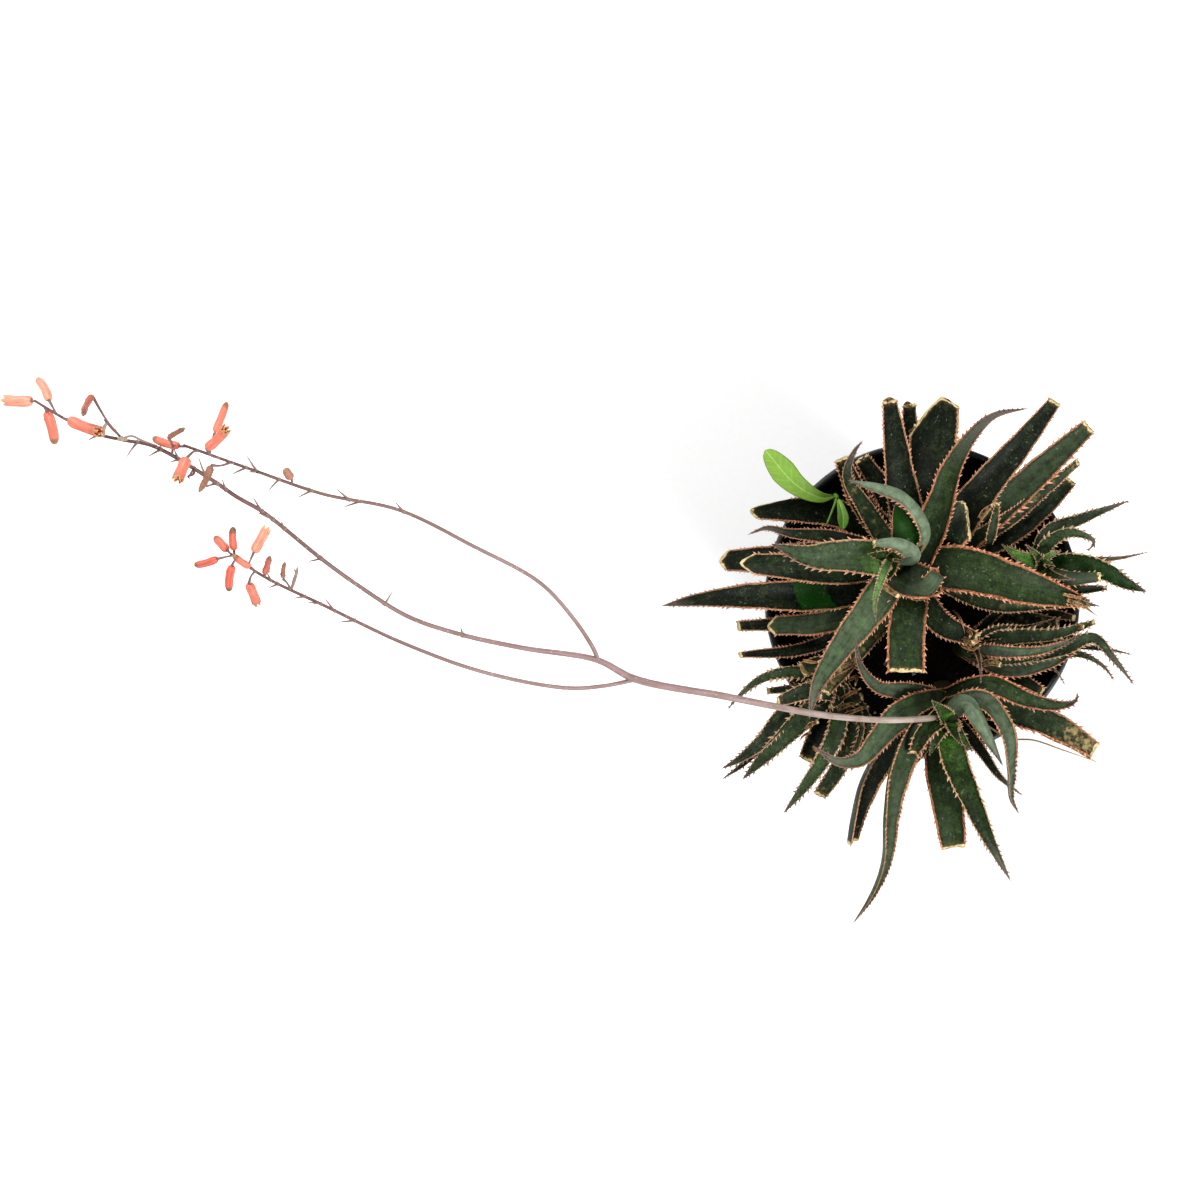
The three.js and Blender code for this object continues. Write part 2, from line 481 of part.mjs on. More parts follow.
function flower({ base, end, width, open }) {
  const from = sight(base);
  const axis = sight(end).sub(from);
  const length = axis.length();
  axis.normalize();
  const turn = new THREE.Quaternion().setFromUnitVectors(new THREE.Vector3(0, 0, 1), axis);
  const sides = width < SLIM ? 8 : 12;
  const profile = open ? FLOWER_PROFILE.open : FLOWER_PROFILE.bud;
  const rings = profile.map(([share, wide]) =>
    Array.from({ length: sides }, (_, i) => {
      const groove = i % 2 ? 0.86 : 1;
      const notch = open && share === 1 && i % 2 ? 0.86 : 1;
      const angle = (2 * Math.PI * i) / sides;
      const radius = (width / 2) * wide * groove;
      return new THREE.Vector3(Math.cos(angle) * radius, Math.sin(angle) * radius, share * notch * length)
        .applyQuaternion(turn)
        .add(from);
    }),
  );
  return loft(rings);
}

// The point of the stalk or its branches nearest to a place.
const stalkPoints = [STALK, NORTH_BRANCH, SOUTH_BRANCH].flatMap((line) =>
  new THREE.CatmullRomCurve3(line.map(sight), false, "centripetal").getPoints(12 * line.length),
);
const onStalk = (place) => {
  const near = sight(place);
  return stalkPoints.reduce((best, p) => (p.distanceTo(near) < best.distanceTo(near) ? p : best));
};

// A pedicel runs from inside the stalk to just short of its flower.
function pedicel({ from, base, end }) {
  const start = onStalk(from);
  const socket = sight(base);
  const back = socket.clone().sub(sight(end)).normalize();
  const stop = socket.clone().addScaledVector(back, GAP);
  const middle = start.clone().lerp(stop, 0.5).addScaledVector(back, 0.15 * start.distanceTo(stop));
  return tube([start, middle, stop], [0.45, 0.4, 0.5], 4, 2);
}

function bract([from, to]) {
  const start = onStalk(from);
  const tip = sight(to);
  return tube([start, tip], [0.55, 0.32], 3, 1);
}

// Weed blades are thin and oval, narrowing to a stalk at the root.
function weedLeaf({ places, width }) {
  const rib = new THREE.CatmullRomCurve3(places.map(sight), false, "centripetal");
  const steps = 10;
  const rings = [];
  for (let s = 0; s <= steps; s++) {
    const t = s / steps;
    const point = rib.getPointAt(t);
    const along = rib.getTangentAt(t);
    const up = new THREE.Vector3(0, 0, 1).addScaledVector(along, -along.z).normalize();
    const side = up.clone().cross(along);
    const swell = smooth(clamp((t - 0.25) / 0.4)) * Math.sqrt(Math.max(0, 1 - clamp((t - 0.6) / 0.4) ** 2));
    const half = Math.max(0.7, (width / 2) * swell);
    rings.push(
      [[half, 0.4], [0, 0.3], [-half, 0.4], [0, -0.5]].map(([across, high]) =>
        point.clone().addScaledVector(side, across).addScaledVector(up, high),
      ),
    );
  }
  return loft(rings);
}

function weedStem(spare = 0) {
  const points = WEED_STEM.map(sight);
  points[0].z -= spare;
  return tube(points, points.map(() => 1.1 + spare), 6, 6);
}

// The pot is turned in one profile: floor, tapered wall, collar and rolled rim.
function pot() {
  const { rimRadius, height, baseRadius, wall, floor, collar, shoulder, lip } = POT;
  const collarRadius = rimRadius - lip;
  const wallTop = height - collar;
  const wallRadius = collarRadius - shoulder;
  const profile = [
    [0, 0], [baseRadius, 0], [wallRadius, wallTop], [collarRadius, wallTop + shoulder],
    [collarRadius, height - 5], [rimRadius, height - 4], [rimRadius, height - 1], [rimRadius - 1, height],
    [collarRadius - wall + 0.6, height], [collarRadius - wall, height - 1],
    [collarRadius - wall, wallTop + shoulder + 0.8], [wallRadius - wall, wallTop],
    [baseRadius - wall + (wallRadius - baseRadius) * (floor / wallTop), floor], [0, floor],
  ];
  const turned = solidOf(
    new THREE.LatheGeometry(profile.map(([r, z]) => new THREE.Vector2(r, z)), POT_SIDES).rotateX(Math.PI / 2),
  );
  const drains = Array.from({ length: DRAIN.count }, (_, i) => {
    const angle = (2 * Math.PI * (i + 0.5)) / DRAIN.count;
    const hole = new THREE.CylinderGeometry(DRAIN.radius, DRAIN.radius, 4 * floor, 10).rotateX(Math.PI / 2);
    return solidOf(hole.translate(DRAIN.ring * Math.cos(angle), DRAIN.ring * Math.sin(angle), 0));
  });
  return turned.subtract(union(drains));
}

// The soil fills the pot up to its collar, with a lumpy top and a hole for each stem.
function soil(holes) {
  const { height, baseRadius, wall, floor, collar, shoulder, lip } = POT;
  const wallTop = height - collar;
  const wallRadius = POT.rimRadius - lip - shoulder;
  const slope = (wallRadius - baseRadius) / wallTop;
  const inside = (z) => baseRadius + slope * z - wall - GAP - 0.4;
  const lumps = [0.97, 0.55];
  const rings = [
    [0, floor + GAP], [inside(floor), floor + GAP], [inside(wallTop - 1), wallTop - 1],
    ...lumps.map((share) => [share * inside(wallTop - 1), soilTop]), [0, soilTop],
  ];
  const turned = new THREE.LatheGeometry(rings.map(([r, z]) => new THREE.Vector2(r, z)), POT_SIDES);
  const place = turned.rotateX(Math.PI / 2).attributes.position;
  for (let i = 0; i < place.count; i++) {
    if (place.getZ(i) < soilTop - 0.1) continue;
    const x = place.getX(i);
    const y = place.getY(i);
    const rough = Math.sin(x * 0.31 + 1.3) * Math.cos(y * 0.27) + 0.5 * Math.sin(x * 0.83 - y * 0.71);
    place.setZ(i, soilTop + (SOIL.bump * rough) / 1.5 - SOIL.bump);
  }
  return solidOf(turned).subtract(union(holes));
}

// Materials, with the colours seen on the plant.
const paint = (color, roughness) => new THREE.MeshStandardMaterial({ color, roughness, metalness: 0 });
const LEAF_GREEN = paint(0x3b4a3c, 0.55);
const PUP_GREEN = paint(0x435a3e, 0.55);
const STALK_MAUVE = paint(0x9c7a74, 0.6);
const FLOWER_CORAL = paint(0xf0805f, 0.5);
const FLOWER_DRY = paint(0x8a6a60, 0.75);
const WEED_GREEN = paint(0x8cc152, 0.5);
const POT_BLACK = paint(0x16161a, 0.4);
const SOIL_BROWN = paint(0x2b211a, 0.95);

const plant = new THREE.Group();
const stalkBase = STALK.slice(0, 4);
for (const [name, head] of Object.entries(HEADS)) {
  let body = sound([stem(head), ...head.leaves.map(leaf)]);
  if (name === "head_front") {
    body = body.subtract(stalkTube(stalkBase, STEM_SIDES, 8, GAP + 0.1));
  }
  plant.add(meshOf(name, body, name.startsWith("pup") ? PUP_GREEN : LEAF_GREEN));
}

const inflorescence = sound([
  stalkTube(STALK, 7, 34),
  stalkTube(NORTH_BRANCH, 5, 14),
  stalkTube(SOUTH_BRANCH, 5, 12),
  ...FLOWERS.map(pedicel),
  ...BRACTS.map(bract),
]);
plant.add(meshOf("flower_stalk", inflorescence, STALK_MAUVE));

FLOWERS.forEach((spec, i) => {
  const number = String(i + 1).padStart(2, "0");
  plant.add(meshOf(`flower_${number}`, flower(spec), spec.width < SLIM ? FLOWER_DRY : FLOWER_CORAL));
});

const twig = tube(WEED_TWIG.map(sight), [0.7, 0.6, 0.5], 5, 4);
plant.add(meshOf("weed", sound([weedStem(), twig, ...WEED.map(weedLeaf)]), WEED_GREEN));

const holes = [...Object.values(HEADS).map((head) => stem(head, GAP)), weedStem(GAP)];
const planted = new THREE.Group();
planted.add(plant, meshOf("pot", pot(), POT_BLACK), meshOf("soil", soil(holes), SOIL_BROWN));

export default planted;
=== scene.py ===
# %% [markdown]
# # A potted coral fire aloe
#
# The plant is a clump of five small aloe rosettes in a round black nursery pot. Its leaves are dark and
# waxy, their margins are coral and toothed, and many were trimmed square. A thin flower stalk leans far
# out to the left, and a small weed has come up beside the clump.
#
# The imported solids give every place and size. This script keeps those places and gives each solid a
# finer piece with skin, teeth, petals and soil crumbs. It works in millimetres and turns them to metres
# where a mesh is made.

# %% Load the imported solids
import json
import math
from collections import namedtuple

import bmesh
import bpy
import numpy as np
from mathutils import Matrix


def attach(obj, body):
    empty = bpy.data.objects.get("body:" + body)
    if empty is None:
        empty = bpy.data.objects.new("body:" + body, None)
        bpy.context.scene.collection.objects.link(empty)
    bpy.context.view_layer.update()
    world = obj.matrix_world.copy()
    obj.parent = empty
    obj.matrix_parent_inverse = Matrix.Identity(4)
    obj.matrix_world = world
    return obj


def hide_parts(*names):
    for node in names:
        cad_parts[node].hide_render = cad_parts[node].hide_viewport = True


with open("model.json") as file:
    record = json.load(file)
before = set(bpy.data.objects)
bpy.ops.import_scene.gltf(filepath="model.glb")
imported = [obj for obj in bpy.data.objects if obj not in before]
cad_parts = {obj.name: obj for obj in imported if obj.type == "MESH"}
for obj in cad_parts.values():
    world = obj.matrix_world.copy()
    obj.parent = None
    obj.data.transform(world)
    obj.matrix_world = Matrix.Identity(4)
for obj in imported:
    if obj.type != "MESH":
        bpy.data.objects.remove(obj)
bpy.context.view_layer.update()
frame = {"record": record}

MM = 0.001

# %% [markdown]
# ## Where things are
#
# The plant was measured from straight above, as across and up the page with a height over the rim. The
# eye was 900 mm over the rim and 161.5 mm to the left of the pot's axis, so whatever stands nearer to it
# looks too large and too far out. One function draws such a place in, and every piece goes through it.

# %% From a seen place to a real one
EYE_X, EYE_HEIGHT = -161.5, 900.0
RIM_HEIGHT = 146.0


def sight(places):
    """Seen places (across, up, height over the rim) as real points in millimetres."""
    across, up, height = np.array([place[:3] for place in places], float).T
    nearer = 1 - height / EYE_HEIGHT
    return np.column_stack([EYE_X + (across - EYE_X) * nearer, up * nearer, RIM_HEIGHT + height])


print("a place 100 mm over the rim is drawn in to", sight([(0, 50, 100)]).round(1))

# %% [markdown]
# ## Camera, floor and light
#
# The camera looks straight down from that same eye, and its lens takes in 600 mm at the rim's height.
# The floor is plain and white. A pale surround and two wide soft lamps light it, as a white table in a
# studio is lit, so that shadows stay faint. The lamps stand to the sides: straight overhead they would
# show as a haze on every flat leaf.

# %% Camera
SEEN_WIDTH = 600.0
camera_data = bpy.data.cameras.new("Overhead camera")
camera_data.sensor_width = 36.0
camera_data.angle = 2 * math.atan(SEEN_WIDTH / 2 / EYE_HEIGHT)
camera = bpy.data.objects.new("Overhead camera", camera_data)
camera.location = (EYE_X * MM, 0.0, (RIM_HEIGHT + EYE_HEIGHT) * MM)
bpy.context.scene.collection.objects.link(camera)
bpy.context.scene.camera = camera
view = bpy.context.scene.view_settings
view.view_transform, view.look = "Standard", "Medium High Contrast"
print("lens covers", round(math.degrees(camera_data.angle), 2), "degrees")

# %% Light
SURROUND_STRENGTH = 0.33
LAMPS = {
    # place in metres, width across in metres and power in watts
    "Main soft lamp": ((1.0, -1.1, 1.7), 1.2, 47.0),
    "Filling soft lamp": ((-1.1, 1.1, 1.7), 1.6, 40.0),
}


def hang_lamp(name, place, width, power):
    """A round soft lamp that faces the pot."""
    data = bpy.data.lights.new(name, "AREA")
    data.shape, data.size, data.energy = "DISK", width, power
    lamp = bpy.data.objects.new(name, data)
    lamp.location = place
    lamp.rotation_euler = (-lamp.location).to_track_quat("-Z", "Y").to_euler()
    bpy.context.scene.collection.objects.link(lamp)


world = bpy.data.worlds.new("Pale studio")
bpy.context.scene.world = world
world.use_nodes = True
surround = world.node_tree.nodes["Background"]
surround.inputs["Color"].default_value = (1.0, 1.0, 1.0, 1.0)
surround.inputs["Strength"].default_value = SURROUND_STRENGTH
for name, (place, width, power) in LAMPS.items():
    hang_lamp(name, place, width, power)
print(len(LAMPS), "lamps, surround", SURROUND_STRENGTH)

# %% [markdown]
# ## Helpers for node trees
#
# Finishes and Geometry Nodes are both trees of nodes. Adding a node, setting it and wiring it takes
# several lines each time, so one small class does it in a call. Colours are written as the screen shows
# them and turned into the linear numbers that a shader mixes.

# %% Colours and nodes


def colour(code):
    """A screen colour such as 'a86b4f' as linear red, green, blue and alpha."""
    parts = [int(code[i : i + 2], 16) / 255 for i in (0, 2, 4)]
    return (*(p / 12.92 if p <= 0.04045 else ((p + 0.055) / 1.055) ** 2.4 for p in parts), 1.0)


class Nodes:
    """Adds nodes to a tree, one a call, and gives back the socket that the next call needs."""

    def __init__(self, tree):
        self.tree = tree

    def add(self, kind, inputs, **settings):
        node = self.tree.nodes.new(kind)
        for name, value in settings.items():
            setattr(node, name, value)
        for key, value in inputs.items():
            if isinstance(value, bpy.types.NodeSocket):
                self.tree.links.new(value, node.inputs[key])
            elif value is not None:
                is_code = isinstance(value, str) and node.inputs[key].type == "RGBA"
                node.inputs[key].default_value = colour(value) if is_code else value
        return node

    def sum(self, operation, a, b=None, c=None):
        return self.add("ShaderNodeMath", {0: a, 1: b, 2: c}, operation=operation).outputs[0]

    def times(self, a, b):
        return self.sum("MULTIPLY", a, b)

    def plus(self, a, b):
        return self.sum("ADD", a, b)

    def fit(self, value, low, high, to_low=0.0, to_high=1.0):
        """Eases a value from the span low to high into another span."""
        ends = {0: value, 1: low, 2: high, 3: to_low, 4: to_high}
        return self.add("ShaderNodeMapRange", ends, interpolation_type="SMOOTHSTEP").outputs[0]

    def blend(self, share, under, over, way="MIX"):
        colours = {0: share, 6: under, 7: over}
        return self.add("ShaderNodeMix", colours, data_type="RGBA", blend_type=way).outputs[2]

    def vector(self, x, y, z):
        return self.add("ShaderNodeCombineXYZ", {0: x, 1: y, 2: z}).outputs[0]

    def parts(self, vector):
        return self.add("ShaderNodeSeparateXYZ", {0: vector}).outputs

    def scale(self, vector, by):
        return self.add("ShaderNodeVectorMath", {0: vector, 3: by}, operation="SCALE").outputs[0]

    def noise(self, vector, size, detail=3.0):
        """Soft blotches about this size across, from 0 to 1."""
        grain = {"Vector": vector, "Scale": 1 / size, "Detail": detail}
        return self.add("ShaderNodeTexNoise", grain).outputs[0]

    def spots(self, vector, size):
        """Scattered spots about this far apart, 0 at the middle of each."""
        pattern = {"Vector": vector, "Scale": 1 / size}
        return self.add("ShaderNodeTexVoronoi", pattern).outputs["Distance"]

    def carried(self, name, output="Vector"):
        """What the mesh carries at each of its points under this name."""
        return self.add("ShaderNodeAttribute", {}, attribute_name=name).outputs[output]

    def note(self, name):
        """The three parts of a vector that the mesh carries."""
        return self.parts(self.carried(name))

    def place(self):
        """The point's own place on the object, in millimetres."""
        return self.scale(self.add("ShaderNodeTexCoord", {}).outputs["Object"], 1 / MM)

    def relief(self, height, depth):
        """Turns heights from 0 to 1 into a relief this many millimetres deep."""
        bump = {"Height": height, "Distance": depth * MM, "Strength": 1.0}
        return self.add("ShaderNodeBump", bump).outputs[0]


def finish(name, paint, **steady):
    """A material. Its paint function adds the nodes and gives what goes into each socket of the surface."""
    material = bpy.data.materials.new(name)
    material.use_nodes = True
    tree = material.node_tree
    surface = tree.nodes["Principled BSDF"].inputs
    for socket, value in steady.items():
        surface[socket.replace("_", " ")].default_value = value
    for socket, value in paint(Nodes(tree)).items():
        tree.links.new(value, surface[socket])
    print(name, "has", len(tree.nodes), "nodes")
    return material


print("coral as linear numbers:", [round(v, 3) for v in colour("dc9a80")[:3]])

# %% Floor
FLOOR_SIZE = 12.0


def paper(n):
    grain = n.noise(n.place(), 3.0, 4.0)
    dull = n.fit(grain, 0.2, 0.8, 0.7, 0.85)
    return {"Base Color": n.blend(grain, "fafafa", "ffffff"), "Roughness": dull}


bpy.ops.mesh.primitive_plane_add(size=FLOOR_SIZE, location=(EYE_X * MM, 0.0, 0.0))
floor = bpy.context.object
floor.name = "Studio floor"
floor.data.materials.append(finish("Pale studio floor", paper, Specular_IOR_Level=0.2))
print(floor.name, "is", FLOOR_SIZE, "m wide")

# %% [markdown]
# ## Gathering a mesh
#
# A rosette has dozens of leaves, but it is one grown piece. So each leaf adds its points and faces to a
# gathering, and the whole becomes one mesh. Each point also carries notes, such as how far it is from
# the leaf's margin, and the finish reads them to put the coral band and the streaks where they belong.

# %% Gather points, faces and notes


class Gathering:
    """Points in millimetres, faces, and the vectors that each point carries for its finish."""

    def __init__(self):
        self.points, self.faces, self.notes, self.count = [], [], {}, 0

    def add(self, points, faces, **notes):
        points = np.asarray(points, float).reshape(-1, 3)
        self.points.append(points)
        self.faces += [[i + self.count for i in face] for face in faces]
        for name, value in notes.items():
            self.notes.setdefault(name, []).append(np.broadcast_to(np.asarray(value, float), points.shape))
        self.count += len(points)

    def piece(self, name, material=None):
        """The gathering as one smooth object with its faces turned outwards."""
        mesh = bpy.data.meshes.new(name)
        mesh.from_pydata((np.vstack(self.points) * MM).tolist(), [], self.faces)
        for note, values in self.notes.items():
            layer = mesh.attributes.new(note, "FLOAT_VECTOR", "POINT")
            layer.data.foreach_set("vector", np.vstack(values).astype(np.float32).ravel())
        if self.faces:
            turned = bmesh.new()
            turned.from_mesh(mesh)
            bmesh.ops.recalc_face_normals(turned, faces=turned.faces)
            turned.to_mesh(mesh)
            turned.free()
            mesh.shade_smooth()
        made = bpy.data.objects.new(name, mesh)
        bpy.context.scene.collection.objects.link(made)
        if material:
            mesh.materials.append(material)
        return made


def settle(piece, slot, *nodes):
    """The piece rides with the plant and stands for its solids, which it hides. Its slot is not used."""
    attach(piece, "root")
    if nodes:
        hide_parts(*nodes)
    piece.data.calc_loop_triangles()
    print(piece.name, "has", len(piece.data.loop_triangles), "triangles")


def skin_faces(rings, around, start=0):
    """Faces between rings that follow each other in the point list."""
    faces = []
    for r in range(rings - 1):
        for i in range(around):
            a, b = start + r * around + i, start + r * around + (i + 1) % around
            faces.append((a, b, b + around, a + around))
    return faces


def closed_faces(rings, around):
    """The same with a flat cap on the first and on the last ring."""
    last = (rings - 1) * around
    caps = [tuple(range(around - 1, -1, -1)), tuple(range(last, last + around))]
    return skin_faces(rings, around) + caps


print("a closed tube of 3 rings of 8 has", len(closed_faces(3, 8)), "faces")

# %% [markdown]
# ## Smooth paths
#
# Leaves, stalks and stems all follow a line through a few known places. The curve must be the one that
# the solids were made with, or the pieces would leave them, so it is written out here: a Catmull-Rom
# curve whose steps grow with the square root of the distance between its places.

# %% A curve through places
LOOK_AROUND = 0.006  # the share of its length over which a curve's direction is read


def unit(vectors):
    vectors = np.asarray(vectors, float)
    return vectors / np.maximum(np.linalg.norm(vectors, axis=-1, keepdims=True), 1e-9)


def ease(value):
    """0 below 0, 1 above 1, and a soft step between."""
    value = np.clip(value, 0, 1)
    return value * value * (3 - 2 * value)


def evenly_round(steps):
    """This many equal turns round a full circle."""
    return np.linspace(0, 2 * np.pi, steps, endpoint=False)


class Path:
    """A smooth curve through places, read by its share of length, with a radius at each place."""

    def __init__(self, places, radii=None, fine=32):
        p = np.array(places, float)
        ends = np.vstack([2 * p[0] - p[1], p, 2 * p[-1] - p[-2]])
        step = np.sqrt(np.maximum(np.linalg.norm(np.diff(ends, axis=0), axis=1), 1e-6))[:, None]
        u = np.linspace(0, 1, fine, endpoint=False)[:, None]
        radii = np.zeros(len(p)) if radii is None else np.array(radii, float)
        line, girth = [], []
        for i in range(len(p) - 1):
            a, b, c, d = ends[i : i + 4]
            before, here, after = step[i : i + 3]
            leave = ((b - a) / before - (c - a) / (before + here) + (c - b) / here) * here
            arrive = ((c - b) / here - (d - b) / (here + after) + (d - c) / after) * here
            bend, twist = 3 * (c - b) - 2 * leave - arrive, 2 * (b - c) + leave + arrive
            line.append(b + u * leave + u**2 * bend + u**3 * twist)
            girth.append(radii[i] + u[:, 0] * (radii[i + 1] - radii[i]))
        self.line = np.vstack([*line, p[-1:]])
        self.girth = np.append(np.concatenate(girth), radii[-1])
        self.share = np.insert(np.cumsum(np.linalg.norm(np.diff(self.line, axis=0), axis=1)), 0, 0)
        self.length = self.share[-1]
        self.share /= self.length

    def at(self, t):
        return np.column_stack([np.interp(t, self.share, self.line[:, k]) for k in range(3)])

    def ahead(self, t):
        t = np.asarray(t, float)
        return unit(self.at(np.minimum(t + LOOK_AROUND, 1)) - self.at(np.maximum(t - LOOK_AROUND, 0)))

    def radius(self, t):
        return np.interp(t, self.share, self.girth)


print("a path 30 mm up and 40 mm across is", round(Path([(0, 0, 0), (40, 0, 30)]).length), "mm long")

# %% [markdown]
# ## The five rosettes, leaf by leaf
#
# These are the leaves that the solids were made from, apart from two that the solids draw a little
# wider. Each has its look, its width, how late it narrows, and its midrib's places from the stem to the
# tip. Then come the share of its width left where it was trimmed and its turn at root and tip in
# degrees. The scraps are too fine for the solids: young leaves, dried bits and curled threads.
#
# A look says how bright the green is, how much grey bloom it has, how dry it is, how pale its margin is,
# how large its teeth are, and which margin is bare of them: 1 for the left and -1 for the right.

# %% Looks and shapes of leaves
Look = namedtuple("Look", "green bloom dry pale teeth bare")
LOOKS = {
    # painted shade: the deep look is for older leaves lying low or under others, and part of its darkness
    # is the shade that falls on them
    "deep": Look(0, 0.04, 0, 0.3, 0.8, 0),
    "dark": Look(0.12, 0.06, 0.04, 0.25, 0.9, 0),
    "mid": Look(0.42, 0.06, 0, 0, 1.05, 0),
    "cup": Look(0.3, 0.22, 0.05, 0.1, 1, 0),
    "bold": Look(0.3, 0.14, 0.05, 0.1, 1.8, 0),
    "vivid": Look(0.5, -0.6, 0, 0.3, 0.9, 0),
    "emerald": Look(0.15, -0.36, 0, 0.9, 1.4, 0),
    "spring": Look(1.05, 0.12, 0, 0.9, 1, 0),
    # painted sheen: the grey bloom and paler green of the misty look are partly the leaves' own bloom and
    # partly the soft sheen of light on their curve
    "misty": Look(0.66, 0.35, 0, 0.2, 1, 0),
    "young": Look(0.93, 0, 0, 0.85, 0.8, 0),
    "pale": Look(1.15, 0.38, 0, 1, 0.6, 0),
    "dusty": Look(0.44, 0.22, 0.05, 0.2, 1, 0),
    "lively": Look(0.8, 0, 0, 0.6, 1.25, 0),
    # painted light: this look carries a pool of light on one leaf
    "patched": Look(0, 0.04, 0.04, 0.25, 1.1, 0),
    "shady": Look(0.3, 0.1, 0.15, 0.85, 1.4, 0),
    "dewy": Look(0.88, 0.26, 0, 0.5, 1.5, 0),
    "bloom": Look(0.35, 0.9, 0, 0.3, 1.5, 1),
    "frosted": Look(0.3, 0.75, 0, 0.1, 1, -1),
    "ashen": Look(0.25, 0.45, 0.05, 0.2, 1, 0),
    "olive": Look(0.3, 0.12, 0.3, 0.5, 0.9, 0),
    "withering": Look(0.55, 0.25, 0.4, 0.5, 0.9, 0),
    "straw": Look(0.25, 0.1, 0.12, 0.15, 1.5, 0),
    "pup": Look(0.5, 0.12, 0.05, 0.85, 1.4, 0),
    "pup_dark": Look(0.12, 0.1, 0.08, 0.7, 1.3, 0),
    "speckled": Look(0.05, 0.1, 0.38, 0.8, 1.1, 0),
    "husk": Look(0.3, 0.1, 0.8, 0.1, 0, 0),
    "thread": Look(0.2, 0.6, 0.3, 0.6, 0, 0),
}
WHOLE = 0  # a leaf that was not trimmed
SLENDER, TAPERED, STOUT = 1.1, 1.7, 3  # narrows from its root, evenly, or only near its tip
FACE_UP, BACK_UP = (0, 0), (180, 180)
# how deep the fold is, and where a slanting cut has its peak and how far it falls to the left and right
Shape = namedtuple("Shape", "fold peak left right")
PLAIN, FOLDED, GUTTER = Shape(0.17, 0, 0, 0), Shape(0.3, 0, 0, 0), Shape(0.24, 0, 0, 0)
SLANT_LEFT, SLANT_RIGHT = Shape(0.17, -0.35, 19, 5), Shape(0.17, 0.1, 4, 20)
CORNERED, ROUND, BLUNT = Shape(0.17, 0.7, 4, 8), Shape(0.17, 0, 8, 7), Shape(0.17, 0, 3, 4)
Leaf = namedtuple("Leaf", "look width taper places cut turn shape", defaults=(WHOLE, FACE_UP, PLAIN))
print(len(LOOKS), "looks")

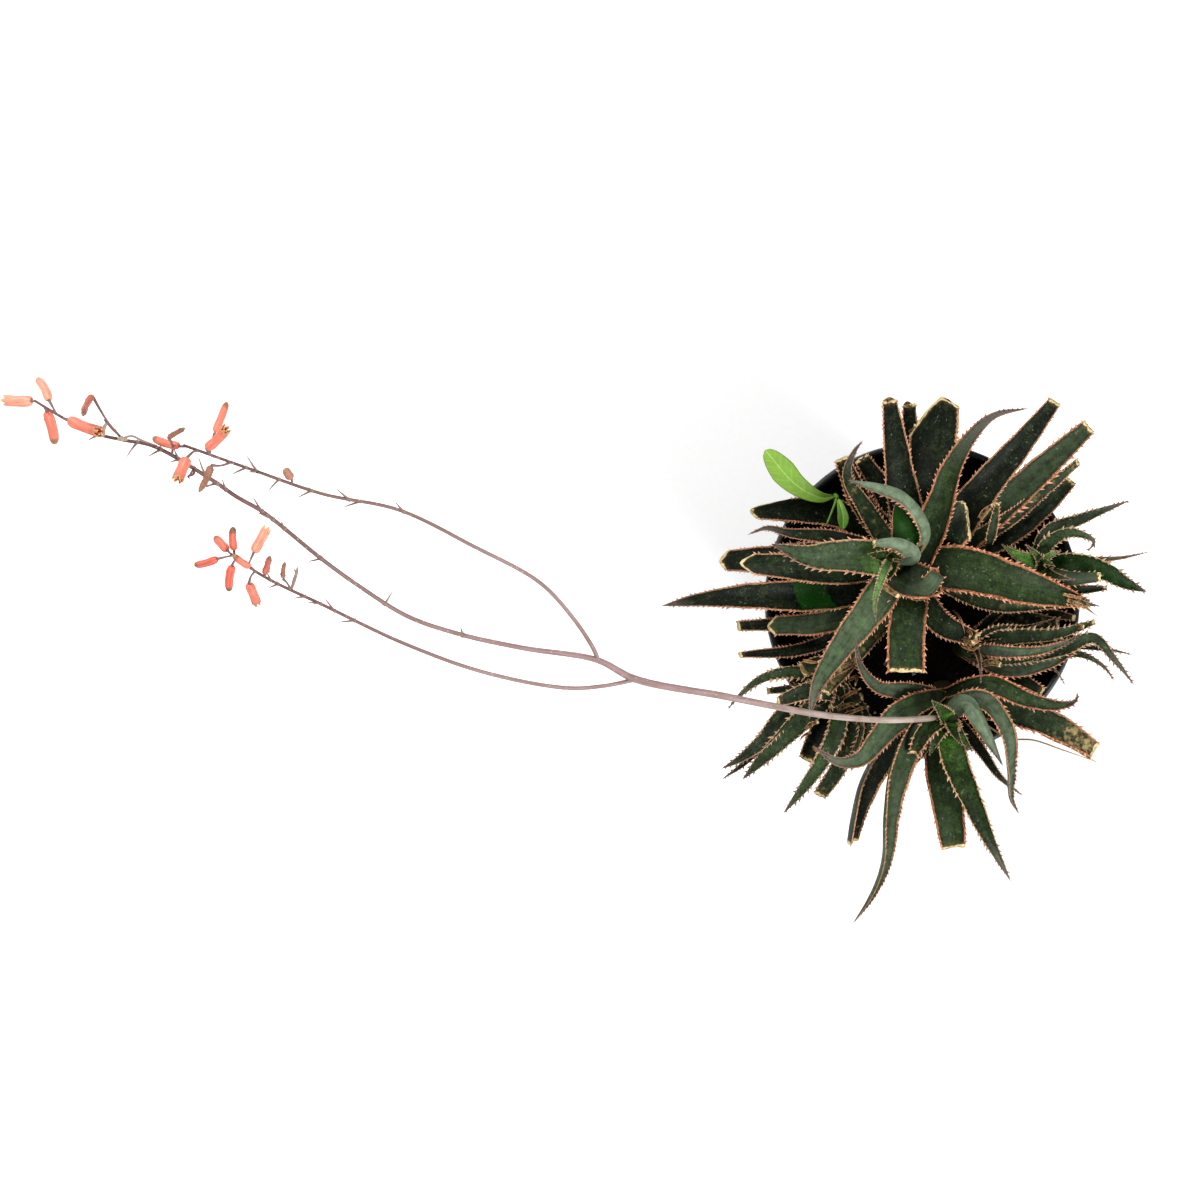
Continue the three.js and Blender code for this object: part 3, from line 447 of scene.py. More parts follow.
# %% Leaves of the rosettes
MAIN_LEAVES = [
    # the young crown
    Leaf("dewy", 17, STOUT, [(-16, 20, 40), (-38, 21.5, 54), (-58, 21.5, 52),
        (-76, 28, 54)], WHOLE, (0, 30)),
    Leaf("bloom", 11, STOUT, [(-6, 20, 30), (2, 33, 52), (-2, 44, 63), (-10, 52, 67), (-21, 56, 67),
        (-38, 60, 62)], WHOLE, (258, 195)),
    Leaf("bloom", 8, STOUT, [(-12, 19, 44), (-5, 23, 60), (-13, 28, 68), (-25, 28.5, 64)], 0.3, BACK_UP),
    Leaf("pale", 5, TAPERED, [(-17, 20, 48), (-20.5, 12, 66), (-24, 0, 68), (-23.5, -11, 60)]),
    Leaf("cup", 19, STOUT, [(-14, 17, 34), (-8, 11, 46), (2, 9, 53), (9, 10, 55)], 0.6),
    Leaf("cup", 11, STOUT, [(-10, 14, 38), (-4, 6, 50), (3, 7, 59), (8, 13, 61)], 0.7, (175, 200)),
    Leaf("vivid", 13, TAPERED, [(-12, 18, 34), (-11, 32, 46), (-12, 44, 44)]),
    Leaf("misty", 18, TAPERED, [(-13, 16, 30), (-26, -4, 40), (-42, -25, 42), (-53, -43, 36),
        (-57, -60, 28)], WHOLE, (0, 10)),
    Leaf("withering", 13, STOUT, [(-5, 13, 6), (-24, -12, 24), (-38, -30, 27), (-50, -46, 23)], 0.5),
    Leaf("mid", 18, STOUT, [(-9, 14, 24), (-8, -6, 38), (-9, -20, 42), (-9, -36, 42)], 0.95),
    Leaf("mid", 23, 2.2, [(-6, 17, 20), (22, 15, 36), (50, 7, 38), (83, -2, 24)], 0.14),
    Leaf("dark", 20, STOUT, [(-4, 18, 18), (13, 35, 34), (25, 44, 36)], 0.95, shape=CORNERED),
    Leaf("mid", 19, SLENDER, [(-4, 18, 24), (8, 46, 42), (15, 66, 50), (25, 82, 52), (36, 92, 50),
        (53, 96, 46)], WHOLE, (0, -45), shape=GUTTER),
    # the rows beneath it, north
    Leaf("deep", 24, STOUT, [(-1, 18, 10), (3, 55, 24), (4.5, 80, 28),
        (5.5, 102, 30)], 0.95, shape=SLANT_LEFT),
    Leaf("deep", 19, TAPERED, [(-3, 18, 16), (-11, 56, 34), (-14, 78, 40), (-17, 100, 42)], 0.35),
    Leaf("deep", 10, STOUT, [(-2, 18, 0), (-6, 62, 10), (-7, 98, 14)], 0.6),
    Leaf("dark", 13, STOUT, [(-4, 17, 8), (-30, 47, 20), (-41, 71, 22)], 0.5),
    Leaf("olive", 11, TAPERED, [(-11, 18, 28), (-29, 46, 34), (-38, 62, 36), (-35, 73, 36), (-30, 80, 34)]),
    Leaf("deep", 12, STOUT, [(-2, 18, 4), (-20, 54, 14), (-31, 71, 16)], 0.6),
    # west
    Leaf("deep", 14, STOUT, [(-3, 16, 0), (-40, 42, 5), (-62, 45, 8),
        (-87, 46, 9)], 0.75, shape=SLANT_RIGHT),
    Leaf("dark", 11, TAPERED, [(-6, 17, 12), (-45, 31, 24), (-67, 33.5, 26), (-78, 36, 24),
        (-88, 32.5, 22)]),
    Leaf("deep", 16, STOUT, [(-2, 16, 0), (-50, 21, 6), (-76, 20.5, 9), (-102, 19.5, 9)], 0.6, shape=BLUNT),
    Leaf("dark", 14, STOUT, [(-9, 18, 20), (-45, 15, 32), (-70, 17, 32),
        (-92, 18.5, 26)], 0.7, shape=ROUND),
    Leaf("patched", 17, STOUT, [(-3, 14, 6), (-50, 3, 16), (-88, 2, 22), (-113, 0, 22), (-131, -3, 18)]),
    Leaf("dusty", 12, STOUT, [(-2, 12, 2), (-45, -10, 12), (-78, -13, 12)], 0.75, shape=BLUNT),
    Leaf("deep", 7, STOUT, [(0, 10, -6), (-55, -10, 3), (-93, -13, 5)], 0.7),
    Leaf("deep", 8, STOUT, [(0, 9, -5), (-55, -23, 4), (-92, -27.5, 6)], 0.35),
    # east
    Leaf("olive", 9, TAPERED, [(1, 13, -2), (34, -2, 8), (70, -3, 8)], 0.2),
    Leaf("deep", 20, 1.6, [(2, 17, 4), (30, 56, 18), (48, 77, 24), (66, 99.5, 26)], 0.3),
    Leaf("bold", 16, STOUT, [(2, 16, 0), (42, 50, 14), (62, 68, 20), (83, 87, 22)], 0.45),
    Leaf("olive", 9, STOUT, [(2, 16, 0), (45, 43, 12), (62, 57, 16), (77.5, 70, 18)], 0.6, (0, 50)),
    Leaf("dark", 12, STOUT, [(2, 15, -4), (46, 35, 4), (62, 48, 8), (74, 60, 8)], 0.5),
    Leaf("dark", 13, STOUT, [(-8, 12, 14), (8, -11, 20), (27, -20, 20)], 0.5),
]
MAIN_SCRAPS = [
    Leaf("olive", 5, STOUT, [(33, 28, 26), (35, 38, 31), (37, 49, 31)], 0.5, (0, 30)),
    Leaf("vivid", 16, STOUT, [(-8, 22, 42), (-9, 32, 51), (-11, 40, 54), (-14, 48, 53)]),
    Leaf("vivid", 8, STOUT, [(-17, 20, 44), (-17, 16, 54), (-20, 10, 60)], 0.4),
    Leaf("young", 9, TAPERED, [(-17, 20, 44), (-21, 22, 54), (-28, 23, 58)]),
    Leaf("vivid", 7, TAPERED, [(-17, 20, 44), (-14, 22, 54), (-10, 20, 58)]),
    Leaf("husk", 2.6, STOUT, [(22, -20, 22), (24, -21, 25.5), (26, -20.5, 25.5)], 0.5, (0, 30)),
    Leaf("husk", 2.2, STOUT, [(28, 41, 27), (31, 45, 30), (35.5, 48, 31.5)], 0.5),
    Leaf("husk", 2.6, STOUT, [(-20, 7, 50), (-17, 5, 52), (-12, 1.5, 52)], 0.6),
    Leaf("husk", 2.4, STOUT, [(-20, 98, 42), (-17, 100.5, 42.5), (-13, 99.5, 42)], 0.4, (0, 60)),
    Leaf("husk", 1.6, STOUT, [(-9.5, 96.5, 14), (-8, 98.5, 15), (-5.5, 97.5, 14.5)], 0.5),
    Leaf("husk", 1.4, STOUT, [(-7, 84, 30), (-4.5, 85.5, 31), (-4, 88, 31)], 0.5),
    Leaf("husk", 1.8, TAPERED, [(70, 3, 34), (77, 1.5, 31), (84, 1.5, 27)], WHOLE, (0, 40)),
    Leaf("husk", 2.2, TAPERED, [(72, 0, 33), (80, -3, 28), (87, -8, 24)]),
    Leaf("speckled", 5, TAPERED, [(64, 2, 29), (77, -1, 29), (88, -3, 24)]),
    Leaf("husk", 1.3, TAPERED, [(15, -5, 17), (19, -10, 23), (21, -17, 21)]),
    Leaf("husk", 2.6, STOUT, [(20, -19, 21), (24, -21, 25), (28, -20, 25), (27, -17, 24)], 0.4, (0, 90)),
    Leaf("husk", 1.6, STOUT, [(22, -15, 21), (24, -17, 24), (23, -19, 23)], 0.4),
    Leaf("husk", 1.8, STOUT, [(19, -22.5, 20), (25, -24.5, 22), (29, -22.5, 21)], 0.4, (0, 70)),
    Leaf("husk", 4.2, STOUT, [(-54, -41, 24), (-46, -37, 29), (-38, -33, 31),
        (-31, -30, 31)], 0.5, (0, 20)),
    Leaf("husk", 1.4, STOUT, [(-60, -30, 22), (-56, -31, 24), (-51, -31, 24)], 0.5),
]
FRONT_LEAVES = [
    Leaf("mid", 18, STOUT, [(10, -52, 4), (9, -78, 14), (12, -102, 18), (15, -124, 16)], 0.62),
    Leaf("lively", 14, TAPERED, [(12, -58, 20), (15, -78, 34), (24, -100, 36), (32, -118, 32),
        (44, -141, 26)]),
    Leaf("ashen", 12, STOUT, [(12, -53, 14), (31, -52, 34), (41, -66, 40), (43.5, -85, 34),
        (44, -99, 28), (48, -107, 24)], WHOLE, (-20, -60)),
    Leaf("frosted", 11, TAPERED, [(12, -56, 20), (23, -53, 38), (30, -64, 42),
        (40, -83, 34)], WHOLE, (160, 180)),
    Leaf("deep", 7, TAPERED, [(11, -54, 6), (28, -74, 14), (38, -88, 14), (50, -98, 12)]),
    Leaf("straw", 15, STOUT, [(10, -49, 2), (45, -55, 12), (66, -63, 16), (86, -75, 14)], 0.5),
    Leaf("mid", 10, STOUT, [(10, -48, 10), (33, -42, 24), (52, -49.5, 30), (68, -52.5, 28),
        (76, -50.5, 26), (77.5, -46, 24)], WHOLE, (0, 20)),
    Leaf("ashen", 12, TAPERED, [(10, -50, 10), (-9, -45, 24), (-23, -42, 38), (-31, -32, 48),
        (-34, -18, 56)], WHOLE, (0, -60)),
    Leaf("misty", 17, TAPERED, [(10, -50, 12), (-12, -58, 30), (-23, -70, 38), (-31, -79, 40),
        (-42, -81, 40), (-55, -73, 38)]),
    Leaf("dusty", 18, 1.4, [(10, -54, 14), (-5, -66, 30), (-14, -86, 38), (-17.5, -108, 38),
        (-19, -130, 34), (-25, -147, 30), (-35, -162, 26)], WHOLE, (-20, -60), shape=FOLDED),
    Leaf("deep", 17, STOUT, [(9, -50, 2), (-17, -72, 14), (-29, -90, 20), (-34.5, -108, 20),
        (-37, -121, 18)], 0.55, (-20, -65), shape=FOLDED),
    Leaf("olive", 6, TAPERED, [(12, -57, 18), (3, -71, 26), (-4, -81, 24), (-10, -86, 22)]),
    Leaf("young", 9, TAPERED, [(13, -60, 28), (8, -54, 42), (4, -50, 48)]),
    Leaf("young", 8, TAPERED, [(13, -61, 28), (16, -67, 44), (20, -73, 50)]),
    Leaf("young", 9, TAPERED, [(12, -58, 24), (7, -68, 34), (3, -78, 32)]),
]
FRONT_SCRAPS = [
    Leaf("lively", 10, STOUT, [(12, -57, 18), (6, -60, 32), (-1, -68, 38),
        (-5, -77, 36)], 0.4, shape=FOLDED),
    Leaf("young", 8, TAPERED, [(13, -61, 24), (18, -67, 37), (25, -76, 40)]),
    Leaf("thread", 0.8, STOUT, [(28, -60, 9), (43, -69, 12), (55, -70, 14), (70, -75, 11), (87, -81, 7)]),
    Leaf("husk", 2.4, STOUT, [(60, -67, 15), (74, -73, 16), (85, -80, 14)], 0.4, (0, 50)),
]
PUP_EAST_LEAVES = [
    Leaf("pup_dark", 9, TAPERED, [(57, 16, 0), (62, 33, 10), (80, 41, 14), (104, 50, 14)]),
    Leaf("pup", 8, TAPERED, [(58, 17, 8), (62, 28, 20), (72, 33.5, 26), (80, 32.5, 26), (85.5, 29, 24),
        (82, 24, 22)]),
    Leaf("ashen", 4, TAPERED, [(57, 16, 0), (84, 20, 10), (98, 21, 12), (113, 24, 10)]),
    Leaf("emerald", 11, STOUT, [(58, 16, 6), (75, 18, 18), (90, 14.5, 20), (101, 8.5, 18), (112, 4, 14)]),
    Leaf("pup_dark", 7, STOUT, [(58, 16, 10), (72, 11, 24), (89, 11.5, 26)], 0.6, BACK_UP),
    Leaf("spring", 9, TAPERED, [(57, 16, 8), (50, 20, 18), (43, 26, 20)], 0.3),
    Leaf("young", 6, TAPERED, [(58, 17, 12), (61, 19, 22), (66, 17, 26)]),
    Leaf("pup_dark", 6, STOUT, [(57, 16, -2), (74, 6, 8), (92, 6, 10)], 0.3),
]
PUP_EAST_SCRAPS = [
    Leaf("spring", 9, TAPERED, [(58, 17, 12), (53, 20, 22), (46, 23, 25), (39, 28, 24)]),
    Leaf("young", 6, TAPERED, [(58, 17, 12), (57, 22, 24), (51, 28, 28)]),
    Leaf("young", 7, STOUT, [(58, 17, 6), (50, 15, 18), (41, 17, 20)], 0.5),
    Leaf("spring", 6.5, TAPERED, [(58, 17, 12), (63, 22, 23), (69, 25, 24)]),
    Leaf("lively", 6, TAPERED, [(58, 16, 10), (66, 12, 24), (76, 10, 29)]),
]
PUP_SOUTH_EAST_LEAVES = [
    Leaf("speckled", 11, STOUT, [(20, -23, -6), (42, -11, 2), (68, -12, 5)], 0.5),
    Leaf("shady", 9, TAPERED, [(22, -23, 2), (44, -18.5, 12), (66, -17, 17), (86, -11, 17)], 0.25),
    Leaf("shady", 10, TAPERED, [(22, -24, 0), (46, -27, 10), (70, -24, 14), (85, -19, 16),
        (95, -29, 14), (106, -43, 10)]),
    Leaf("ashen", 9, STOUT, [(21, -25, -2), (42, -34, 6), (62, -31, 10), (77, -23, 10)], 0.4),
    Leaf("shady", 7, TAPERED, [(20, -25, -8), (60, -28, 3), (78, -27, 6), (90, -33, 6), (96, -41, 3)]),
    Leaf("pup_dark", 4, STOUT, [(22, -24, 0), (60, -22, 6), (94, -25, 9), (105, -27.5, 8)]),
    Leaf("pup_dark", 4, TAPERED, [(20, -26, -8), (58, -33, 2), (66, -35, 5), (71, -42.5, 3)]),
    Leaf("dark", 8, STOUT, [(20, -26, -6), (46, -38, 0), (60, -46, 2)], 0.5),
    Leaf("dark", 6, TAPERED, [(22, -23, -2), (40, -5, 6), (58, -6, 8)]),
    Leaf("olive", 4, TAPERED, [(22, -24, 0), (26.5, -26, 18), (28.5, -33, 31), (29, -42, 37)]),
    Leaf("dark", 7, STOUT, [(22, -22, -6), (48, -8, 0), (64, -7, 3), (76, -9, 6)], 0.4),
    Leaf("ashen", 7, TAPERED, [(22, -24, 4), (45, -26, 17), (60, -25, 20), (72, -21, 19), (80, -16, 15)]),
]
PUP_SOUTH_EAST_SCRAPS = [
    Leaf("olive", 4, STOUT, [(23, -23, 2), (38, -21.5, 9), (56, -21.5, 14), (72, -18, 15),
        (79, -14, 14)], 0.3),
    Leaf("pup_dark", 3.4, TAPERED, [(22, -22, 6), (36, -14, 12), (52, -13, 14),
        (66, -9, 14)], WHOLE, (0, 40)),
    Leaf("husk", 3.6, STOUT, [(30, -32, 12), (34, -31, 15), (39, -32.5, 14)], 0.6),
    Leaf("husk", 2.4, STOUT, [(77.5, -13.5, 19), (79, -13.3, 20.5), (80.5, -13.5, 19)], 0.5),
    Leaf("pup", 3.4, TAPERED, [(24, -28, 6), (40, -31, 12), (52, -30, 15), (66, -26, 15)]),
]
PUP_SOUTH_WEST_LEAVES = [
    Leaf("shady", 8, TAPERED, [(-42, -41, 0), (-64, -36, 12), (-80, -39, 16), (-91, -47, 16),
        (-98, -55, 12)]),
    Leaf("pup_dark", 5, STOUT, [(-42, -42, -4), (-62, -44, 6), (-78, -45.5, 9)], 0.5),
    Leaf("pup_dark", 10, STOUT, [(-43, -43, 2), (-69, -57, 12), (-80, -70, 16), (-91, -79, 14),
        (-101, -84.5, 12)]),
    Leaf("pup_dark", 6, STOUT, [(-42, -42, -4), (-72, -64, 7), (-90, -82, 9), (-101, -90, 8)]),
    Leaf("shady", 11, STOUT, [(-43, -43, 2), (-62, -61, 13), (-74, -73, 16), (-82, -81, 14),
        (-90.5, -90, 10)]),
    Leaf("deep", 9, STOUT, [(-42, -42, -6), (-51, -62, 6), (-59, -80, 8)], 0.8),
    Leaf("pup", 9, STOUT, [(-43, -43, 0), (-43, -64, 12), (-51, -81, 15), (-60, -94, 13), (-70, -107, 10)]),
    Leaf("olive", 9, STOUT, [(-41, -42, -4), (-34, -64, 8), (-42, -83, 10), (-52, -98, 8)], 0.7),
    Leaf("shady", 8, STOUT, [(-40, -42, -2), (-29, -64, 8), (-36, -80, 10)], 0.3),
    Leaf("pup_dark", 9, STOUT, [(-44, -42, 4), (-60, -46, 16), (-73, -51, 18)], 0.5),
    Leaf("olive", 8, STOUT, [(-43, -40, 4), (-50, -32, 14), (-61, -35, 18)], 0.9),
    Leaf("olive", 8, STOUT, [(-42, -42, 2), (-38, -50, 10), (-30, -48, 12)], 0.4),
]
PUP_SOUTH_WEST_SCRAPS = [
    Leaf("husk", 1.8, STOUT, [(-61, -33, 20), (-59, -36, 22), (-55, -37, 21)], 0.5, (0, 60)),
    Leaf("husk", 1.9, STOUT, [(-42, -50, 14), (-37, -47, 19), (-31, -44, 18)], 0.5, (0, 50)),
    Leaf("husk", 2.2, STOUT, [(-43, -55, 13), (-37, -52, 18), (-32, -52, 17)], 0.4, (0, 40)),
    Leaf("husk", 1.8, STOUT, [(-39, -57, 12), (-33, -55, 16), (-27, -53, 15)], 0.5),
    Leaf("husk", 2, STOUT, [(-37, -40, 18), (-33, -38, 21), (-34, -43, 20)], 0.4, (0, 80)),
    Leaf("husk", 2.2, STOUT, [(-59, -65, 14), (-56, -62, 17), (-52, -61, 16)], 0.5),
    Leaf("husk", 1.5, TAPERED, [(-56, -66, 12), (-60, -68, 13), (-62, -71, 12)]),
    Leaf("husk", 1.3, TAPERED, [(-55, -73, 10), (-53, -76, 13), (-50, -78, 13)]),
    Leaf("pup_dark", 7, STOUT, [(-43, -43, 8), (-46, -47, 16), (-52, -49, 18)], 0.3),
    Leaf("pup_dark", 6, STOUT, [(-43, -43, 8), (-42, -49, 16), (-46, -54, 18)], 0.2),
]
Head = namedtuple("Head", "stem radii leaves scraps")
HEADS = {
    "head_main": Head([(2, 14, -34), (1, 15, -6), (-5, 17, 16), (-13, 19, 36), (-17, 20, 48)],
        (9, 5), MAIN_LEAVES, MAIN_SCRAPS),
    "head_front": Head([(10, -46, -34), (10, -48, -6), (11, -55, 14), (13, -61, 30)],
        (8, 4.5), FRONT_LEAVES, FRONT_SCRAPS),
    "pup_east": Head([(56, 15, -32), (57, 16, -6), (58, 17, 14)],
        (4.5, 3), PUP_EAST_LEAVES, PUP_EAST_SCRAPS),
    "pup_south_east": Head([(19, -24, -34), (20, -24, -8), (23, -24, 6)],
        (6, 4), PUP_SOUTH_EAST_LEAVES, PUP_SOUTH_EAST_SCRAPS),
    "pup_south_west": Head([(-41, -40, -32), (-42, -41, -8), (-44, -43, 6)],
        (6, 4), PUP_SOUTH_WEST_LEAVES, PUP_SOUTH_WEST_SCRAPS),
}
for name, head in HEADS.items():
    print(name, "has", len(head.leaves), "leaves and", len(head.scraps), "small leaves and scraps")

# %% [markdown]
# ## One leaf blade
#
# An aloe leaf is a thick spear: nearly flat or channelled on its face, keeled on its back, with a hard
# raised margin. It could be a flat sheet given thickness, but then it would be as thick at its margin as
# at its keel. Here each cross-section is drawn with its own face, back and margin bead, and the sections
# follow the midrib. A trimmed leaf ends in a dried, slightly sunken cut.

# %% Cross-sections of a leaf
FACE = np.array([-1, -0.93, -0.8, -0.55, -0.28, 0, 0.28, 0.55, 0.8, 0.93, 1.0])
BACK = np.array([1, 0.88, 0.62, 0.32, 0, -0.32, -0.62, -0.88, -1.0])
AROUND = len(FACE) + len(BACK) + 2
LEAST_HALF = 0.12  # half the width of the slimmest tip, in mm


def section(half, thick, bead, fold):
    """Across and up for each point round a leaf, for many sections at once."""
    half, thick, bead = half[:, None], thick[:, None], bead[:, None]
    face = 0.12 * thick * (1 - FACE**2) + 2 * fold * half * np.abs(FACE) ** 1.5
    back = -thick + (2 * fold * half + thick) * np.abs(BACK) ** 1.8
    face = face + bead * (np.abs(FACE) == 1)
    back = back - bead * (np.abs(BACK) == 1)
    margin = 2 * fold * half
    across = np.hstack([half * FACE, half + 0.6 * bead, half * BACK, -half - 0.6 * bead])
    up = np.hstack([face, margin, back, margin])
    under = np.hstack([0 * FACE, 0.5, 0 * BACK + 1, 0.5]) + 0 * across
    return across, up, under


def zip_faces(across, first):
    """Triangles that close one section, between its face and its back, from margin to margin."""
    upper = [AROUND - 1, *range(len(FACE) + 1)]
    lower = [AROUND - 1, *range(AROUND - 2, len(FACE), -1), len(FACE)]

    def reach(row, k):
        """How far across the next point of a row is."""
        return across[row[k + 1]] if k + 1 < len(row) else np.inf

    faces, i, j = [], 0, 0
    while i + 1 < len(upper) or j + 1 < len(lower):
        rising = reach(upper, i) <= reach(lower, j)
        corner = upper[i + 1] if rising else lower[j + 1]
        if len({upper[i], lower[j], corner}) == 3:
            faces.append((first + upper[i], first + lower[j], first + corner))
        i, j = (i + 1, j) if rising else (i, j + 1)
    return faces


def drawn_back(shape, t, share):
    """How far a slanting cut has drawn back each point, from its share of the half width."""
    peak = shape.peak
    past = np.where(share > peak, (share - peak) / (1 - peak), (peak - share) / (1 + peak))
    return np.where(share > peak, shape.left, shape.right) * ease((t - 0.45) / 0.55) * past**1.3


def rib_frames(leaf, t):
    """Where the midrib is at each share of its length, which ways it faces, and how wide and thick."""
    rib = Path(sight(leaf.places))
    along = rib.ahead(t)
    up = unit(np.array([0, 0, 1.0]) - along * along[:, 2:])
    at_root, at_tip = leaf.turn
    angle = np.radians(at_root + (at_tip - at_root) * t)[:, None]
    up = up * np.cos(angle) + np.cross(along, up) * np.sin(angle)
    side = np.cross(up, along)
    swell = 0.72 + 0.28 * ease(t / 0.25)  # a leaf is widest a quarter of its length from the stem
    half = np.maximum((leaf.width / 2) * swell * (1 - (1 - leaf.cut) * t**leaf.taper), LEAST_HALF)
    thick = np.maximum(0.9, 0.2 * leaf.width * (1 - 0.65 * t)) * np.minimum(1, 0.25 + half / 2)
    return rib, along, up, side, half, thick


def laid_across(centre, side, up, across, high):
    """The points of sections that stand across a midrib."""
    return centre[:, None, :] + side[:, None, :] * across[..., None] + up[:, None, :] * high[..., None]


print(AROUND, "points round each section of a leaf")

# %% The two ends of a leaf
LIVING = 60  # noted as the distance from the end, in mm, where there is no dried cut


def pointed_end(rib, length, last):
    """What closes a pointed leaf: its tip, a fan of faces, and the tip's notes."""
    faces = [(last + i, last + (i + 1) % AROUND, last + AROUND) for i in range(AROUND)]
    return rib.at([1.0]), faces, [[0, length, 0.4]], [[0, LIVING, 1]]


def cut_end(rib, length, last, across, high, slide, directions, living):
    """What closes a trimmed leaf: a ring drawn in from the skin, and faces over a sunken middle."""
    along, up, side = directions
    middle = (high.max() + high.min()) / 2 * 0.4 + high * 0.6
    inner = rib.at([1.0]) + np.outer(across * 0.9, side) + np.outer(middle, up) - 0.45 * along
    inner += np.outer(slide, along)
    faces = skin_faces(2, AROUND, last) + zip_faces(across, last + AROUND)
    place = np.tile([0.0, length, 0.0 if living else 2.0], (AROUND, 1))
    place[:, 0] = across
    return inner, faces, place, np.tile([0.5, living, 1], (AROUND, 1))


# %% How a leaf looks, point by point
MAUVE_TIPS = {SLENDER: 1.0, TAPERED: 0.55}
FAINT_MAUVE = 0.25
GREEN_TO_THE_TIP = ("young", "spring", "vivid", "pale")
# painted light: a slanting pool of light on one leaf, drawn as a patch of vivid green
LIGHT_PATCH = (47, 65)  # where the vivid patch of one leaf starts and ends, in mm


def tip_mauve(leaf):
    """How mauve the tip is. A trimmed leaf has lost its tip, and a young one's is still green."""
    if leaf.cut != WHOLE or leaf.look in GREEN_TO_THE_TIP:
        return 0.0
    return MAUVE_TIPS.get(leaf.taper, FAINT_MAUVE)


def point_looks(leaf, place, end):
    """Green, bloom and dryness at each point, the same all over but on two leaves."""
    look = LOOKS[leaf.look]
    shown = np.tile([look.green, look.bloom, look.dry], (len(place), 1))
    # painted light: the pool of light on this leaf
    if leaf.look == "patched":  # vivid green in a slanting patch, noted as less than no bloom
        slant = place[:, 1] + 0.35 * place[:, 0]
        shown[:, 1] -= ease((slant - LIGHT_PATCH[0]) / 1.5) * ease((LIGHT_PATCH[1] - slant) / 1.5)
    if leaf.look == "straw":  # died back from its end
        shown[:, 2] += 0.42 * ease((end[:, 2] - 0.5) / 0.45)
    return shown


# %% A leaf from its midrib
RING_STEP, LEAST_RINGS, MOST_RINGS = 1.7, 22, 90
LAST_RING = 0.985  # a pointed leaf's last section, just before its tip
FULL_TURN = 6.28


def wavy_sections(leaf, chance, along, half, thick):
    """The leaf's sections, whose width and margins wave a little."""
    slow, quick, lift, _ = chance.uniform(0, FULL_TURN, 4)
    half = half * (1 + 0.018 * np.sin(along / 4.1 + slow) + 0.018 * np.sin(along / 2.3 + quick))
    across, high, under = section(half, thick, 0.1 + 0.3 * np.minimum(1, half / 7), leaf.shape.fold)
    wave = 0.22 * np.sin(along / 5.3 + lift)[:, None] * np.sign(across) * (across / half[:, None]) ** 2
    high = high + wave * np.minimum(1, half / 5)[:, None]
    return half, across, high, under


def grow_leaf(leaf, seed, blades, marks):
    """Adds one leaf's blade to the gathering of blades and the marks of its teeth to that of marks."""
    chance = np.random.default_rng(seed)
    look, pointed, cupped = LOOKS[leaf.look], leaf.cut == WHOLE, leaf.look == "cup"
    length = Path(sight(leaf.places)).length
    rings = int(np.clip(length / RING_STEP, LEAST_RINGS, MOST_RINGS))
    t = np.linspace(0, LAST_RING if pointed else 1.0, rings)
    rib, along, up, side, half, thick = rib_frames(leaf, t)
    half, across, high, under = wavy_sections(leaf, chance, t * length, half, thick)
    # a trimmed end is cut a little askew and is ragged
    askew = 0 if pointed else chance.uniform(-0.12, 0.12)
    slide = askew * across * ease((t - 0.75) / 0.25)[:, None]
    slide -= drawn_back(leaf.shape, t[:, None], np.clip(across / half[:, None], -1, 1))
    slide[-1] += 0 if pointed else chance.uniform(-0.35, 0.35, AROUND)
    points = laid_across(rib.at(t), side, up, across, high) + along[:, None, :] * slide[..., None]
    # what each point notes: its distance from the margin in widths of the coral band, and from the end
    edge = (half[:, None] - np.abs(across)) / (0.3 + 0.085 * half[:, None])
    edge = edge + 2.0 * (across * look.bare > 0)
    if cupped:  # its end is no cut but a coral margin like its sides
        edge = np.minimum(edge, (1 - t)[:, None] * length / 1.2)
    living = LIVING if pointed or cupped else 0
    from_end = (1 - t)[:, None] * length + 0 * across + living
    shares = t[:, None] + 0 * across
    place = np.stack([across, shares * length, edge], -1).reshape(-1, 3)
    end = np.stack([under, from_end, shares], -1).reshape(-1, 3)
    last = (rings - 1) * AROUND
    if pointed:
        closed = pointed_end(rib, length, last)
    else:
        directions = (along[-1], up[-1], side[-1])
        closed = cut_end(rib, length, last, across[-1], high[-1], slide[-1], directions, living)
    tip, tip_faces, tip_place, tip_end = closed
    points = np.vstack([points.reshape(-1, 3), tip, rib.at([0.0])])
    place, end = np.vstack([place, tip_place, [0, 0, 3]]), np.vstack([end, tip_end, [0.5, 99, 0]])
    root_faces = [((i + 1) % AROUND, i, len(points) - 1) for i in range(AROUND)]
    faces = skin_faces(rings, AROUND) + tip_faces + root_faces
    shown, kind = point_looks(leaf, place, end), (seed * 7.3, look.pale, tip_mauve(leaf))
    blades.add(points, faces, leaf_place=place, leaf_end=end, leaf_look=shown, leaf_kind=kind)
    mark_teeth(leaf, chance, length, marks)


# %% Where the teeth stand
FIRST_TOOTH = 0.11
STUNTED = 0.12  # the share of teeth that are stunted


